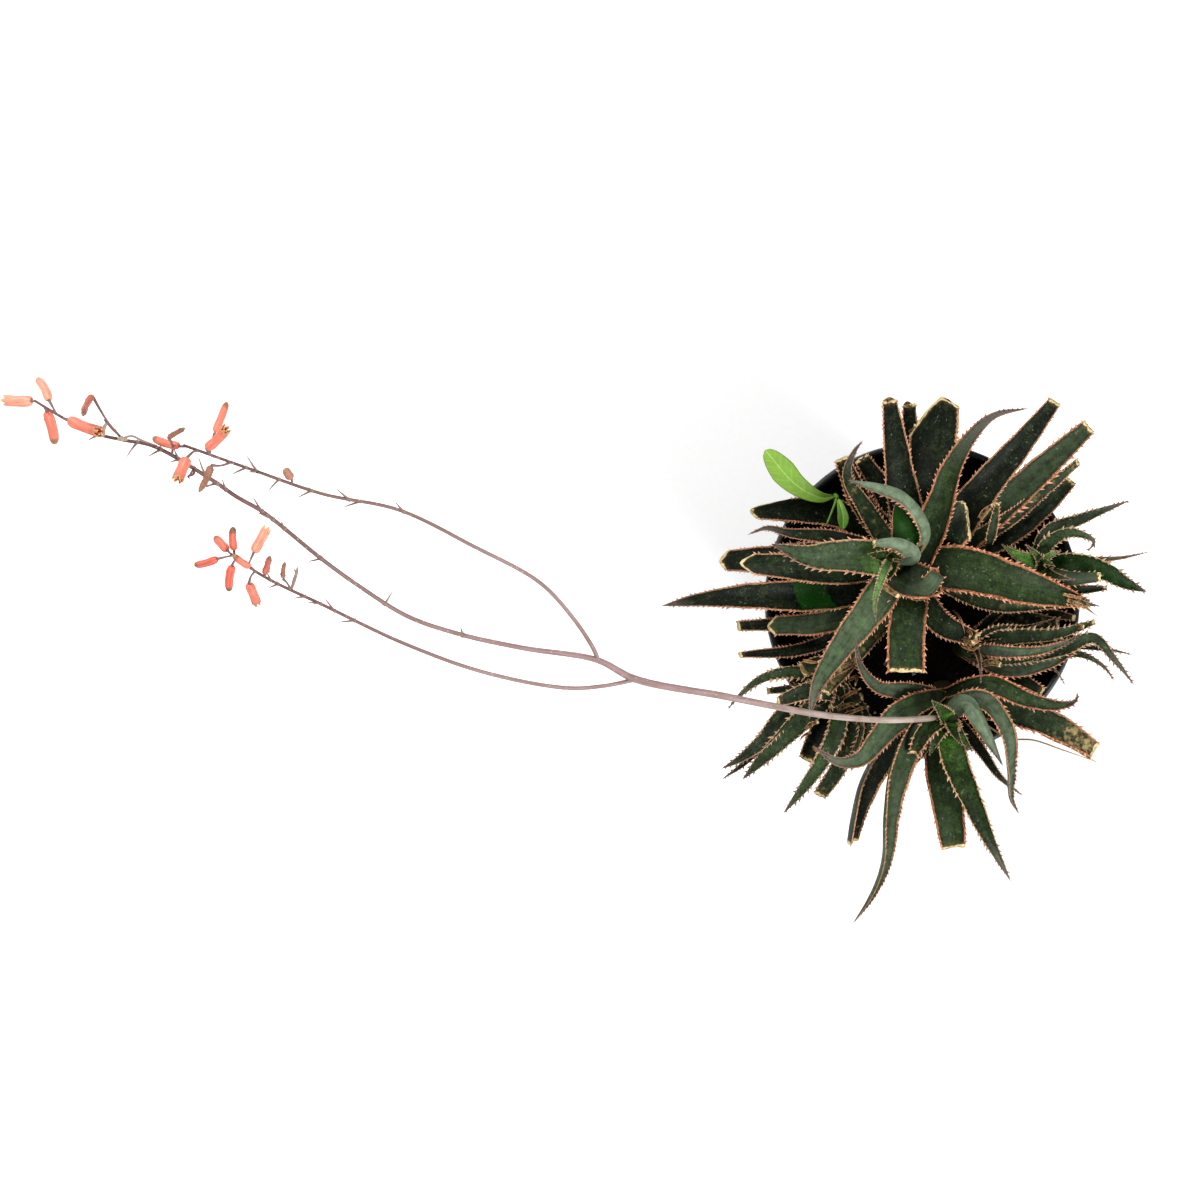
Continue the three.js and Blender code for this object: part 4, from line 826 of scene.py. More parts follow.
def mark_teeth(leaf, chance, length, marks):
    """Marks where each tooth of a leaf stands, which way it points, and how large it is."""
    look, whole = LOOKS[leaf.look], leaf.cut == WHOLE
    last = 0.965 if whole else 0.985
    for sign in (-1, 1):
        if sign == look.bare or not look.teeth:
            continue
        stout = look.teeth * chance.uniform(0.8, 1.2)
        spacing = (1.3 + 0.03 * leaf.width) * (0.5 + 0.75 * stout)
        count = max(4, int(0.86 * length / spacing))
        t = np.linspace(FIRST_TOOTH, last, count) + chance.uniform(-0.2, 0.2, count) * spacing / length
        t = np.clip(t, 0, last)
        rib, along, up, side, half, _ = rib_frames(leaf, t)
        high = (2 * leaf.shape.fold * half)[:, None]
        root = rib.at(t) + side * (sign * (half - 0.25))[:, None] + up * (high + 0.1)
        root -= along * drawn_back(leaf.shape, t, sign)[:, None]
        out = unit(side * sign + 0.12 * up + along * chance.uniform(0.35, 0.8, (count, 1)))
        size = 0.8 * np.minimum(1, 0.65 + half / 8) * chance.uniform(0.65, 1.25, count)
        size *= (0.5 + 0.5 * stout) * np.where(chance.uniform(0, 1, count) < STUNTED, 0.3, 1)
        dark = ease((t - 0.45) / 0.45) * whole
        shown = np.column_stack([0 * t + look.pale, dark, size])
        marks.add(root, [], tooth_out=out, tooth_ahead=along, tooth_look=shown)


print("teeth start at", round(100 * FIRST_TOOTH), "percent of a leaf's length")

# %% [markdown]
# ## The skin of the leaves
#
# A real leaf of this plant is dark green with fine streaks along it, pale flecks, and a grey waxy bloom
# where it has curled over and shows its back. The margin is a hard coral band, a trimmed end dries to
# cream, and a whole tip turns mauve-brown. All of these follow the leaf and not the room, so the finish
# reads the notes that each point carries and lays noise over them at their real size in millimetres.
# The finish also paints shade on the roots of older leaves.

# %% Waxy leaf skin
NOTED = "across along edge under from_end share tone bloom dry seed pale pointed"
Seen = namedtuple("Seen", NOTED + " flat streak blotch ragged")


def read_leaf(n):
    """The notes of a leaf's points, and the noises that several parts of its skin share."""
    across, along, edge = n.note("leaf_place")
    seed, pale, pointed = n.note("leaf_kind")
    flat = n.vector(across, along, seed)
    streak = n.noise(n.vector(across, n.times(along, 0.1), seed), 1.3, 4.0)
    blotch = n.noise(flat, 7.0, 5.0)
    ragged = n.fit(n.noise(flat, 1.5, 4.0), 0.2, 0.8, -0.45, 0.45)
    noted = (across, along, edge, *n.note("leaf_end"), *n.note("leaf_look"), seed, pale, pointed)
    return Seen(*noted, flat, streak, blotch, ragged)


def living_green(n, leaf):
    """Green, from leaves in shade to young ones, livelier near the root, streaked and mottled, with painted
    shade at the root of older leaves.
    """
    tone, share = leaf.tone, leaf.share
    shown = n.plus(tone, n.fit(leaf.blotch, 0.25, 0.75, -0.16, 0.16))
    middling = n.times(n.fit(tone, 0.6, 0.75), n.fit(tone, 1.0, 0.9))
    shown = n.sum("SUBTRACT", shown, n.times(middling, n.fit(share, 0.12, 0.45, 0.0, 0.42)))
    green = n.blend(n.fit(shown, -0.05, 0.55), "080d07", "26361a")
    green = n.blend(n.fit(shown, 0.5, 1.05), green, "547f33")
    green = n.blend(n.times(n.fit(share, 0.3, 0.02), n.fit(tone, 0.6, 1.0)), green, "5d803a")
    mottle = n.noise(leaf.flat, 3.4, 6.0)
    fine, grains = n.noise(leaf.flat, 1.1, 5.0), n.noise(leaf.flat, 0.5, 2.0)
    coarse_shade = n.plus(n.fit(leaf.streak, 0.28, 0.72, 0.8, 1.16), n.fit(fine, 0.3, 0.7, -0.28, 0.28))
    fine_shade = n.plus(n.fit(mottle, 0.3, 0.7, -0.3, 0.3), n.fit(grains, 0.3, 0.7, -0.28, 0.28))
    shade = n.plus(coarse_shade, fine_shade)
    green = n.blend(n.fit(mottle, 0.5, 0.75, 0.0, 0.3), green, "3c3f22")
    green = n.blend(1.0, green, n.vector(shade, shade, shade), "MULTIPLY")
    # painted shade: all but the brightest leaves darken towards the stem, as the leaves over them shade
    # their roots
    painted_root_shade = n.times(n.fit(share, 0.32, 0.05), n.fit(tone, 0.9, 0.6))
    return n.blend(n.times(painted_root_shade, 0.6), green, "0b0f09")


def tip_share(n, leaf):
    """How mauve the leaf is at each place. It starts further back on a slimmer leaf."""
    start = n.plus(1.0, n.times(leaf.pointed, -0.55))
    return n.times(n.fit(leaf.share, start, 1.0), n.times(n.sum("CEIL", leaf.pointed), 0.75))


def powdered(n, leaf, mauve, green):
    """The paler back, the waxy bloom, the vivid green of some leaves and of a painted pool of light, the
    mauve tip and a little dust.
    """
    green = n.blend(n.times(leaf.under, 0.28), green, "5c6b55")
    worn = n.fit(n.noise(leaf.flat, 3.2, 5.0), 0.25, 0.7, 0.45, 0.95)
    powder = n.times(leaf.bloom, n.plus(worn, n.fit(leaf.streak, 0.3, 0.7, -0.12, 0.12)))
    green = n.blend(powder, green, "7b8a73")
    # vivid green where the bloom is below nought: the own green of vivid leaves, and on one leaf a painted
    # pool of light
    green = n.blend(n.fit(leaf.bloom, -0.1, -0.8, 0.0, 0.8), green, "1d4a12")
    green = n.blend(mauve, green, n.blend(leaf.pointed, "58504a", "85807a"))
    specks = n.fit(n.noise(leaf.flat, 0.8, 3.0), 0.5, 0.75)
    dust = n.times(specks, n.fit(leaf.blotch, 0.35, 0.7, 0.04, 0.22))
    return n.blend(dust, green, "7f8672")


def marked(n, leaf, parched, green):
    """Pale flecks, scuffs and dried patches."""
    near = n.fit(n.spots(n.vector(leaf.across, n.times(leaf.along, 0.6), leaf.seed), 2.1), 0.2, 0.06)
    flecks = n.times(near, n.fit(n.noise(leaf.flat, 8.0), 0.46, 0.62, 0.0, 0.36))
    green = n.blend(flecks, green, "93a385")
    worn = n.fit(n.noise(leaf.flat, 13.0), 0.5, 0.62, 0.0, 0.4)
    green = n.blend(n.times(n.fit(n.noise(leaf.flat, 2.6, 6.0), 0.6, 0.74), worn), green, "8d9582")
    straw = n.blend(n.fit(n.noise(leaf.flat, 1.8, 5.0), 0.35, 0.65), "3a3122", "94875f")
    return n.blend(parched, green, straw)


def coral_margin(n, leaf, mauve, green):
    """A dark line and then the coral band along each margin, and how much each place is in the band."""
    inward = n.plus(n.plus(leaf.edge, n.times(leaf.under, 0.75)), n.times(leaf.pale, 0.7))
    near = n.fit(n.plus(inward, n.times(leaf.ragged, 2.0)), 3.0, 1.2)
    green = n.blend(n.times(near, n.fit(leaf.blotch, 0.35, 0.65, 0.1, 0.6)), green, "0d100b")
    band = n.fit(n.plus(inward, leaf.ragged), 1.15, 0.75)
    stretch = n.vector(n.times(leaf.seed, 3.7), n.times(leaf.along, 0.05), n.times(leaf.across, 0.08))
    aged = n.fit(n.noise(stretch, 1.0, 1.0), 0.35, 0.65)
    coral = n.blend(n.fit(n.noise(leaf.flat, 1.5, 4.0), 0.35, 0.65), "63331f", "d89a79")
    coral = n.blend(n.times(aged, 0.75), coral, n.blend(n.noise(leaf.flat, 2.4, 4.0), "503a2a", "b98a60"))
    coral = n.blend(leaf.pale, coral, n.blend(n.noise(leaf.flat, 2.0), "7d6a4e", "cfc093"))
    coral = n.blend(n.times(mauve, 0.95), coral, n.blend(leaf.pointed, "67504b", "8d7770"))
    return n.blend(band, green, coral), band


def waxy_skin(n):
    leaf = read_leaf(n)
    mauve = tip_share(n, leaf)
    parched = n.fit(n.plus(n.noise(leaf.flat, 4.0, 6.0), leaf.dry), 0.78, 1.1)
    green = marked(n, leaf, parched, powdered(n, leaf, mauve, living_green(n, leaf)))
    green, band = coral_margin(n, leaf, mauve, green)
    # the trimmed end: brown, then cream
    browned = n.fit(n.plus(leaf.from_end, n.times(leaf.ragged, 2.0)), 3.4, 1.2, 0.0, 0.75)
    green = n.blend(browned, green, "5c4b33")
    dried = n.fit(n.plus(leaf.from_end, n.times(leaf.ragged, 1.4)), 1.7, 1.1)
    green = n.blend(dried, green, n.blend(n.noise(leaf.flat, 1.2, 4.0), "b49a68", "eee0b4"))
    dull = n.plus(n.fit(leaf.streak, 0.3, 0.7, 0.42, 0.56), n.times(n.plus(band, parched), 0.15))
    puckered = n.noise(n.vector(leaf.across, n.times(leaf.along, 0.25), leaf.seed), 0.7, 4.0)
    wrinkle = n.times(puckered, n.plus(0.25, n.plus(parched, dried)))
    grained = n.plus(n.times(n.noise(leaf.flat, 0.45), 0.25), wrinkle)
    height = n.plus(n.times(leaf.streak, 0.5), grained)
    return {"Base Color": green, "Roughness": dull, "Normal": n.relief(height, 0.22)}


leaf_skin = finish("Waxy aloe skin", waxy_skin, Specular_IOR_Level=0.09)

# %% Coral teeth


def coral_thorn(n):
    pale, dark, _ = n.note("tooth_look")
    height, place = n.carried("tooth_height", "Fac"), n.place()
    coral = n.blend(n.fit(n.noise(place, 2.0), 0.32, 0.68), "9c5a44", "dc9c80")
    coral = n.blend(n.fit(height, 0.3, -0.2), coral, "6b3424")
    coral = n.blend(n.times(pale, 0.85), coral, n.blend(n.noise(place, 3.0), "6b5f48", "c2b08c"))
    coral = n.blend(n.fit(height, 0.3, 0.9, 0.0, 0.6), coral, "e6c0a4")
    coral = n.blend(n.times(dark, 0.85), coral, "6b5150")
    grain = n.noise(place, 0.3)
    dull = n.fit(grain, 0.2, 0.8, 0.4, 0.6)
    return {"Base Color": coral, "Roughness": dull, "Normal": n.relief(grain, 0.05)}


thorn = finish("Hard coral thorn", coral_thorn, Specular_IOR_Level=0.3)

# %% [markdown]
# ## Teeth, by Geometry Nodes
#
# About four and a half thousand teeth stand along the margins, all of one form and each a little
# different. That is work for Geometry Nodes: the leaves mark where each tooth stands and which way it
# points, and a tree puts a small hooked cone there. It ends by making the copies real, because an export
# drops copies, and the result is turned into a plain mesh.

# %% A tree of nodes with named inputs


def new_tree(name, **sockets):
    """A Geometry Nodes tree, its inputs' identifiers by name, and the sockets its work starts from."""
    tree, names = bpy.data.node_groups.new(name, "GeometryNodeTree"), {}
    for label, kind in {"Ground": "Geometry", **sockets}.items():
        made = tree.interface.new_socket(label, in_out="INPUT", socket_type="NodeSocket" + kind)
        names[label] = made.identifier
    tree.interface.new_socket("Grown", in_out="OUTPUT", socket_type="NodeSocketGeometry")
    return tree, names, tree.nodes.new("NodeGroupInput").outputs


def note_number(nodes, geometry, name, number, domain):
    """Keeps a number under a name, on each point or on each copy, for the finish to read."""
    sockets = {"Geometry": geometry, "Name": name, "Value": number}
    kind = "GeometryNodeStoreNamedAttribute"
    return nodes.add(kind, sockets, data_type="FLOAT", domain=domain).outputs[0]


def stand(nodes, points, instance, rotation, scale):
    """A copy of the instance on each point."""
    sockets = {"Points": points, "Instance": instance, "Rotation": rotation, "Scale": scale}
    return nodes.add("GeometryNodeInstanceOnPoints", sockets).outputs[0]


def finish_tree(nodes, geometry, material):
    """Copies made real and painted, as every tree ends."""
    real = nodes.add("GeometryNodeRealizeInstances", {0: geometry}).outputs[0]
    painted = nodes.add("GeometryNodeSetMaterial", {"Geometry": real, "Material": material}).outputs[0]
    nodes.add("NodeGroupOutput", {0: painted})


def grow(name, ground, tree, names, **values):
    """Runs a tree on an object, keeps what it grew as a plain mesh, and clears the object away."""
    modifier = ground.modifiers.new("Grow", "NODES")
    modifier.node_group = tree
    for label, value in values.items():
        modifier[names[label]] = value
    now = bpy.context.evaluated_depsgraph_get()
    made = ground.evaluated_get(now)
    mesh = bpy.data.meshes.new_from_object(made, preserve_all_data_layers=True, depsgraph=now)
    mesh.name = name
    mesh.shade_smooth()
    grown = bpy.data.objects.new(name, mesh)
    bpy.context.scene.collection.objects.link(grown)
    ground.modifiers.remove(modifier)
    bpy.data.objects.remove(ground)
    return grown


# %% The tooth tree


def tooth_tree():
    inputs = {"Length": "Float", "Base": "Float", "Hook": "Float", "Finish": "Material"}
    tree, names, start = new_tree("Teeth on a margin", **inputs)
    n = Nodes(tree)
    form = {"Vertices": 5, "Side Segments": 3, "Radius Top": 0.0, "Radius Bottom": 1.0, "Depth": 1.0}
    cone = n.add("GeometryNodeMeshCone", form).outputs["Mesh"]
    x, y, z = n.parts(n.add("GeometryNodeInputPosition", {}).outputs[0])
    cone = note_number(n, cone, "tooth_height", z, "POINT")
    # x runs along the margin, y through its thickness and z outwards
    bent = n.plus(n.times(x, start["Base"]), n.times(n.times(z, z), start["Hook"]))
    flat = n.times(n.times(y, start["Base"]), 0.5)
    shaped = n.vector(bent, flat, n.times(n.plus(z, -0.12), start["Length"]))
    hooked = n.add("GeometryNodeSetPosition", {"Geometry": cone, "Position": shaped}).outputs[0]

    def noted(name):
        read = {"Name": name}
        return n.add("GeometryNodeInputNamedAttribute", read, data_type="FLOAT_VECTOR").outputs[0]

    def turned(direction, **settings):
        return n.add("FunctionNodeAlignRotationToVector", direction, **settings).outputs[0]

    out = turned({"Vector": noted("tooth_out")}, axis="Z")
    both = turned({"Rotation": out, "Vector": noted("tooth_ahead")}, axis="X", pivot_axis="Z")
    size = n.parts(noted("tooth_look"))[2]
    stood = stand(n, start["Ground"], hooked, both, n.vector(size, size, size))
    finish_tree(n, stood, start["Finish"])
    return tree, names


teeth_tree, teeth_names = tooth_tree()
print(teeth_tree.name, "has", len(teeth_tree.nodes), "nodes")

# %% [markdown]
# ## Growing the rosettes
#
# Each rosette is one gathering of blades round a short woody stem, and its teeth are a piece of their
# own because they are hard and coral while the skin is waxy and green. The stem shows dried leaf bases,
# which are rings of thin torn scales, so its tube is stepped rather than smooth.

# %% A round tube along a path


def tube(path, rings, around, gathering, wobble=0.0, seed=1, lumps=None, **notes):
    """A closed round tube. Its note says how far round, how far along, and its share of the length."""
    t = np.linspace(0, 1, rings)
    centre, along, radius = path.at(t), path.ahead(t), path.radius(t)
    if lumps is not None:
        radius = radius * lumps(t)
    chance = np.random.default_rng(seed)
    normal = unit(np.cross(along[0], [0.31, 0.83, 0.47]))
    turn = evenly_round(around)
    rough = 1 + wobble * chance.uniform(-1, 1, (rings, around))
    points, note = [], []
    for i in range(rings):
        normal = unit(normal - along[i] * np.dot(normal, along[i]))
        other = np.cross(along[i], normal)
        reach = (radius[i] * rough[i])[:, None]
        points.append(centre[i] + reach * (np.outer(np.cos(turn), normal) + np.outer(np.sin(turn), other)))
        note.append(np.column_stack([turn * radius[i], 0 * turn + t[i] * path.length, 0 * turn + t[i]]))
    faces = closed_faces(rings, around)
    gathering.add(np.vstack(points), faces, tube_place=np.vstack(note), **notes)


# %% Dry leaf bases


def dry_scales(n):
    around, along, share = n.note("tube_place")
    fibre = n.noise(n.vector(n.times(around, 3.0), n.times(along, 0.4), 0.0), 1.0, 5.0)
    straw = n.blend(fibre, "2c2219", "7c6a48")
    straw = n.blend(n.fit(share, 0.25, 0.8), straw, "3f4a2c")
    dull = n.fit(fibre, 0.2, 0.8, 0.65, 0.9)
    return {"Base Color": straw, "Roughness": dull, "Normal": n.relief(fibre, 0.4)}


leaf_base = finish("Dry leaf base", dry_scales, Specular_IOR_Level=0.15)

# %% Leaves, teeth and stem of each rosette
TOOTH = {"Length": 2.5 * MM, "Base": 0.95 * MM, "Hook": 0.7 * MM}
STEM_SLIMMER = 0.96  # the drawn stem stays just inside the solid's
SCALE_STEP, SCALE_DEPTH = 5.5, 0.09  # mm between rings of dry scales, and the share that each stands out
STEM_RING, STEM_SIDES = 1.1, 24


def grow_stem(head, seed, core):
    places = sight(head.stem)
    path = Path(places, np.linspace(*head.radii, len(places)) * STEM_SLIMMER)

    def scales(t):
        return 1 - SCALE_DEPTH * ((t * path.length / SCALE_STEP) % 1)

    tube(path, int(path.length / STEM_RING), STEM_SIDES, core, wobble=0.05, seed=seed, lumps=scales)


def grow_head(name, head, seed):
    """One rosette: a piece of leaves that stands for its solid, a piece of teeth, and its stem."""
    blades, marks, core = Gathering(), Gathering(), Gathering()
    for i, leaf in enumerate(head.leaves + head.scraps):
        grow_leaf(leaf, seed + i, blades, marks)
    slot = "pup_green" if name.startswith("pup") else "leaf_green"
    settle(blades.piece(name + "_leaves", leaf_skin), slot, name)
    marked_points = marks.piece(name + "_marks")
    settle(grow(name + "_teeth", marked_points, teeth_tree, teeth_names, Finish=thorn, **TOOTH), slot)
    grow_stem(head, seed, core)
    settle(core.piece(name + "_stem", leaf_base), slot)


for number, (name, head) in enumerate(HEADS.items()):
    grow_head(name, head, 100 * (number + 1))

# %% [markdown]
# ## The flower stalk
#
# One stalk leans out of the front rosette and bears two side branches. It is a drying stem, greyish at
# its foot and mauve further out, with fine ridges along it. Tubes along the same paths as the solid give
# it, a little slimmer where it is thick and a little fuller where it is thin. The slim stems that carry
# the flowers start on it, so each one looks for the nearest point of the stalk.

# %% Paths of the stalk and its branches
STALK = [
    (10, -57, 14, 1.7), (4, -59, 34, 1.6), (-20, -60, 60, 1.55), (-50, -57.5, 85, 1.6),
    (-75, -53, 104, 1.65), (-100, -48, 122, 1.7), (-144, -39.5, 150, 1.7), (-163, -30, 161, 1.2),
    (-200, -24, 180, 0.9), (-232, -17, 195, 0.8), (-258, -8, 206, 0.75), (-282, 7, 216, 0.7),
    (-300, 20, 224, 0.7), (-330, 44, 236, 0.68), (-343, 51.5, 241, 0.68), (-357, 61, 245, 0.65),
    (-385, 77, 253, 0.6), (-400, 80, 257, 0.55), (-413, 83, 260, 0.5), (-428, 90, 263, 0.45),
    (-444, 99.5, 265, 0.4),
]
NORTH_BRANCH = [
    (-162, -31, 160, 0.8), (-165, -24, 166, 0.8), (-175, -9, 178, 0.75), (-192, 9, 194, 0.7),
    (-225, 27, 214, 0.65), (-262, 45, 230, 0.6), (-300, 53, 242, 0.55), (-335, 65, 251, 0.5),
    (-370, 77.5, 257, 0.45),
]
SOUTH_BRANCH = [
    (-143, -39.7, 149, 0.8), (-160, -43, 156, 0.75), (-178, -44, 163, 0.75), (-220, -36, 178, 0.7),
    (-260, -21.5, 190, 0.65), (-300, -2.5, 200, 0.55), (-330, 12, 206, 0.5), (-346, 23, 208, 0.45),
]
FULLER = ((0.9, 1.6), (1.15, 0.94))  # the drawn radius over the solid's, for thin and for thick stretches
stalk_paths = []
for line in (STALK, NORTH_BRANCH, SOUTH_BRANCH):
    radii = [place[3] * np.interp(place[3], *FULLER) for place in line]
    stalk_paths.append(Path(sight(line), radii))
print("stalk and branches in mm:", [round(path.length) for path in stalk_paths])

# %% Stalk finish


def dried_stalk(n):
    around, along, _ = n.note("tube_place")
    age, bare, _ = n.note("tube_look")
    ridge = n.noise(n.vector(n.times(around, 2.2), n.times(along, 0.05), 0.0), 1.0, 4.0)
    blotch = n.noise(n.place(), 9.0, 5.0)
    mauve = n.blend(n.fit(age, 0.0, 0.4), "b9aea2", "9e8685")
    mauve = n.blend(n.fit(age, 0.45, 1.0), mauve, "6b4c4d")
    mauve = n.blend(n.fit(blotch, 0.4, 0.72, 0.0, 0.55), mauve, "877362")
    mauve = n.blend(n.fit(ridge, 0.3, 0.75, 0.0, 0.45), mauve, "533b3b")
    flecks = n.fit(n.spots(n.vector(around, n.times(along, 0.5), 2.0), 1.4), 0.22, 0.08, 0.0, 0.5)
    mauve = n.blend(flecks, mauve, "d3c0b2")
    papery = n.blend(n.noise(n.place(), 1.2), "7d6a60", "cdbda8")
    mauve = n.blend(bare, mauve, papery)
    dull = n.fit(ridge, 0.2, 0.8, 0.5, 0.68)
    height = n.plus(ridge, n.times(flecks, 0.6))
    return {"Base Color": mauve, "Roughness": dull, "Normal": n.relief(height, 0.14)}


stalk_finish = finish("Drying flower stalk", dried_stalk, Specular_IOR_Level=0.25)

# %% [markdown]
# ## Flowers
#
# Each flower is a hanging tube of six petals joined for most of their length. A bud is closed and blunt,
# an open flower has six free tips round a hollow mouth, and a withered one has shrunk and twisted. All
# three come from one rule: a round tube whose radius swells and dips along its length, creased between
# its petals.

# %% Where the flowers hang
# seen places of the start of its stem on the stalk, of the flower's base and of its end, then its width
Flower = namedtuple("Flower", "stem base end width form look")
FLOWERS = [
    Flower((-444, 99.5, 265), (-446, 99.5, 264), (-459, 100, 256), 4.4, "open", "peach"),
    Flower((-433, 94, 264), (-437, 100, 262), (-443, 111, 254), 3.2, "bud", "peach"),
    Flower((-440, 98, 264), (-438, 94, 260), (-434, 78, 250), 3.8, "bud", "coral"),
    Flower((-430, 90.5, 263), (-427, 90, 266), (-411, 84, 272), 4.2, "open", "coral"),
    Flower((-400, 80.3, 257), (-415.5, 102, 265), (-420, 92, 279), 2.4, "withered", "mauve"),
    Flower((-368, 77, 257), (-372, 77, 256), (-385, 81, 249), 3.2, "bud", "coral"),
    Flower((-375, 73, 250), (-377, 81.5, 262), (-369, 86, 268), 2, "withered", "brown"),
    Flower((-362, 75.5, 256), (-368, 71, 262), (-373, 59.5, 266), 4.2, "open", "coral"),
    Flower((-351, 72, 254), (-358, 76, 262), (-348, 86, 268), 3.8, "open", "coral"),
    Flower((-356, 74, 255), (-354, 84, 256), (-348, 99, 250), 2.8, "bud", "coral"),
    Flower((-345, 70, 253), (-356, 67, 258), (-362, 54, 262), 2.6, "withered", "brown"),
    Flower((-315, 59, 246), (-316, 61, 247), (-319, 65.5, 250), 3.2, "bud", "straw"),
    Flower((-345, 22.5, 208), (-353, 20.5, 206), (-364, 17.5, 198), 3.2, "bud", "red"),
    Flower((-346, 23, 208), (-348, 25, 208), (-354, 31.5, 202), 3.4, "bud", "coral"),
    Flower((-344, 22, 208), (-344.5, 25, 211), (-345, 36.5, 215), 3, "bud", "red"),
    Flower((-333, 14, 207), (-336.5, 16.5, 212), (-345, 22.5, 217), 2.8, "bud", "coral"),
    Flower((-343, 21, 208), (-345.5, 17, 205), (-347, 4.5, 197), 3.4, "bud", "red"),
    Flower((-337, 17, 207), (-334.5, 24, 208), (-328, 36, 202), 4, "open", "peach"),
    Flower((-334, 14.5, 206), (-337, 8, 203), (-333, -2, 194), 3.8, "open", "coral"),
    Flower((-329, 11.5, 206), (-329, 13, 208), (-326.5, 22, 212), 2.6, "withered", "mauve"),
    Flower((-316, 5.5, 203), (-320, 11, 206), (-319, 19, 210), 1.9, "withered", "brown"),
]
# how pale the petals are, how dark their tips, how withered they are
PETALS = {
    "peach": (0.9, 0.1, 0.0),
    "coral": (0.3, 0.85, 0.0),
    "red": (0.0, 1.0, 0.1),
    "mauve": (0.0, 0.9, 0.5),
    "brown": (0.2, 1.0, 0.95),
    "straw": (0.7, 0.5, 0.75),
}
print(len(FLOWERS), "flowers")

# %% Petal finish


def coral_petal(n):
    crease, along, share = n.note("petal_place")
    pale, dark, withered = n.note("petal_look")
    place = n.place()
    vein = n.noise(n.vector(n.times(crease, 5.0), n.times(along, 0.12), pale), 1.0, 3.0)
    blotch = n.noise(place, 2.5, 4.0)
    # the middle of each petal is deepest, its edges are nearly cream
    coral = n.blend(pale, "d16454", "e79c85")
    coral = n.blend(n.fit(crease, 0.5, 0.0, 0.0, 0.4), coral, n.blend(pale, "e89a88", "efc8b2"))
    coral = n.blend(n.fit(blotch, 0.35, 0.75, 0.0, 0.45), coral, n.blend(pale, "db735a", "e6a586"))
    coral = n.blend(n.fit(vein, 0.5, 0.75, 0.0, 0.6), coral, "9a3c34")
    # the tips darken, or turn cream where the flower is pale
    near_tip = n.fit(n.plus(share, n.fit(blotch, 0.2, 0.8, -0.06, 0.06)), 0.68, 0.88)
    coral = n.blend(n.times(n.times(near_tip, dark), 0.92), coral, n.blend(blotch, "55343c", "80704a"))
    coral = n.blend(n.times(n.fit(share, 0.82, 1.0), n.times(pale, 0.7)), coral, "dcc088")
    brown = n.blend(n.noise(place, 0.9, 4.0), "5c4038", "a98a74")
    coral = n.blend(n.times(withered, n.fit(blotch, 0.2, 0.6, 0.7, 1.0)), coral, brown)
    dull = n.plus(n.fit(vein, 0.2, 0.8, 0.38, 0.5), n.times(withered, 0.25))
    height = n.plus(n.times(vein, 0.6), n.times(n.noise(place, 0.5), n.plus(0.2, withered)))
    return {"Base Color": coral, "Roughness": dull, "Normal": n.relief(height, 0.12)}


def yellow_stamen(n):
    grain = n.noise(n.place(), 0.6)
    return {"Base Color": n.blend(grain, "c98d3c", "f2e2a0"), "Normal": n.relief(grain, 0.05)}


translucent = {"Subsurface_Weight": 0.12, "Subsurface_Scale": 0.001}
petals = finish("Coral petals", coral_petal, Specular_IOR_Level=0.3, **translucent)
stamens = finish("Flower stamens", yellow_stamen, Roughness=0.6)

# %% The three forms of a flower
PETAL_SIDES = 36
WALL = 0.28  # mm from an open flower's outside to its inside
INSIDE_RINGS = (-1, -3, -6, -10)  # the rings that its inside follows, from the mouth inwards
STAMENS = 4
Form = namedtuple("Form", "swells crease twist crumple notch tips")
FORMS = {
    # the swells are pairs: a share of the length, and how much of the half width the radius has there
    "bud": Form(
        [(0, 0.35), (0.05, 0.85), (0.2, 1.06), (0.45, 0.98), (0.75, 0.98), (0.9, 0.82), (0.97, 0.55),
            (1, 0.15)],
        crease=0.06, twist=0.08, crumple=0.012, notch=0.0, tips=1.0,
    ),
    "open": Form(
        [(0, 0.35), (0.05, 0.85), (0.2, 1.05), (0.45, 0.95), (0.75, 1.02), (0.9, 1.02), (1, 0.98)],
        crease=0.09, twist=0.08, crumple=0.012, notch=0.13, tips=0.5,
    ),
    "withered": Form(
        [(0, 0.4), (0.06, 0.95), (0.22, 1.1), (0.45, 0.85), (0.7, 0.95), (0.88, 0.75), (1, 0.2)],
        crease=0.25, twist=0.9, crumple=0.09, notch=0.0, tips=1.0,
    ),
}


def bloom_axes(flower):
    """The flower's base, its axis, its length, and two directions across it."""
    start, stop = sight([flower.base, flower.end])
    axis = unit(stop - start)
    across = unit(np.cross(axis, [0.13, 0.31, 0.94]))
    return start, axis, np.linalg.norm(stop - start), across, np.cross(axis, across)


def ring_shares(flower):
    """Where the flower's rings stand, as shares of its length: close at its base and at a bud's tip."""
    share = np.append(np.linspace(0, 0.06, 4)[:-1], np.linspace(0.06, 1, 24))
    return np.append(share[:-1], [0.985, 1.0]) if flower.form == "bud" else share


def soft_swell(form, share):
    """The radius at each ring as a share of the half width, with its corners softened."""
    swell = np.interp(share, *np.array(form.swells).T)
    swell[1:-1] = (swell[:-2] + 2 * swell[1:-1] + swell[2:]) / 4
    return swell


# %% One flower


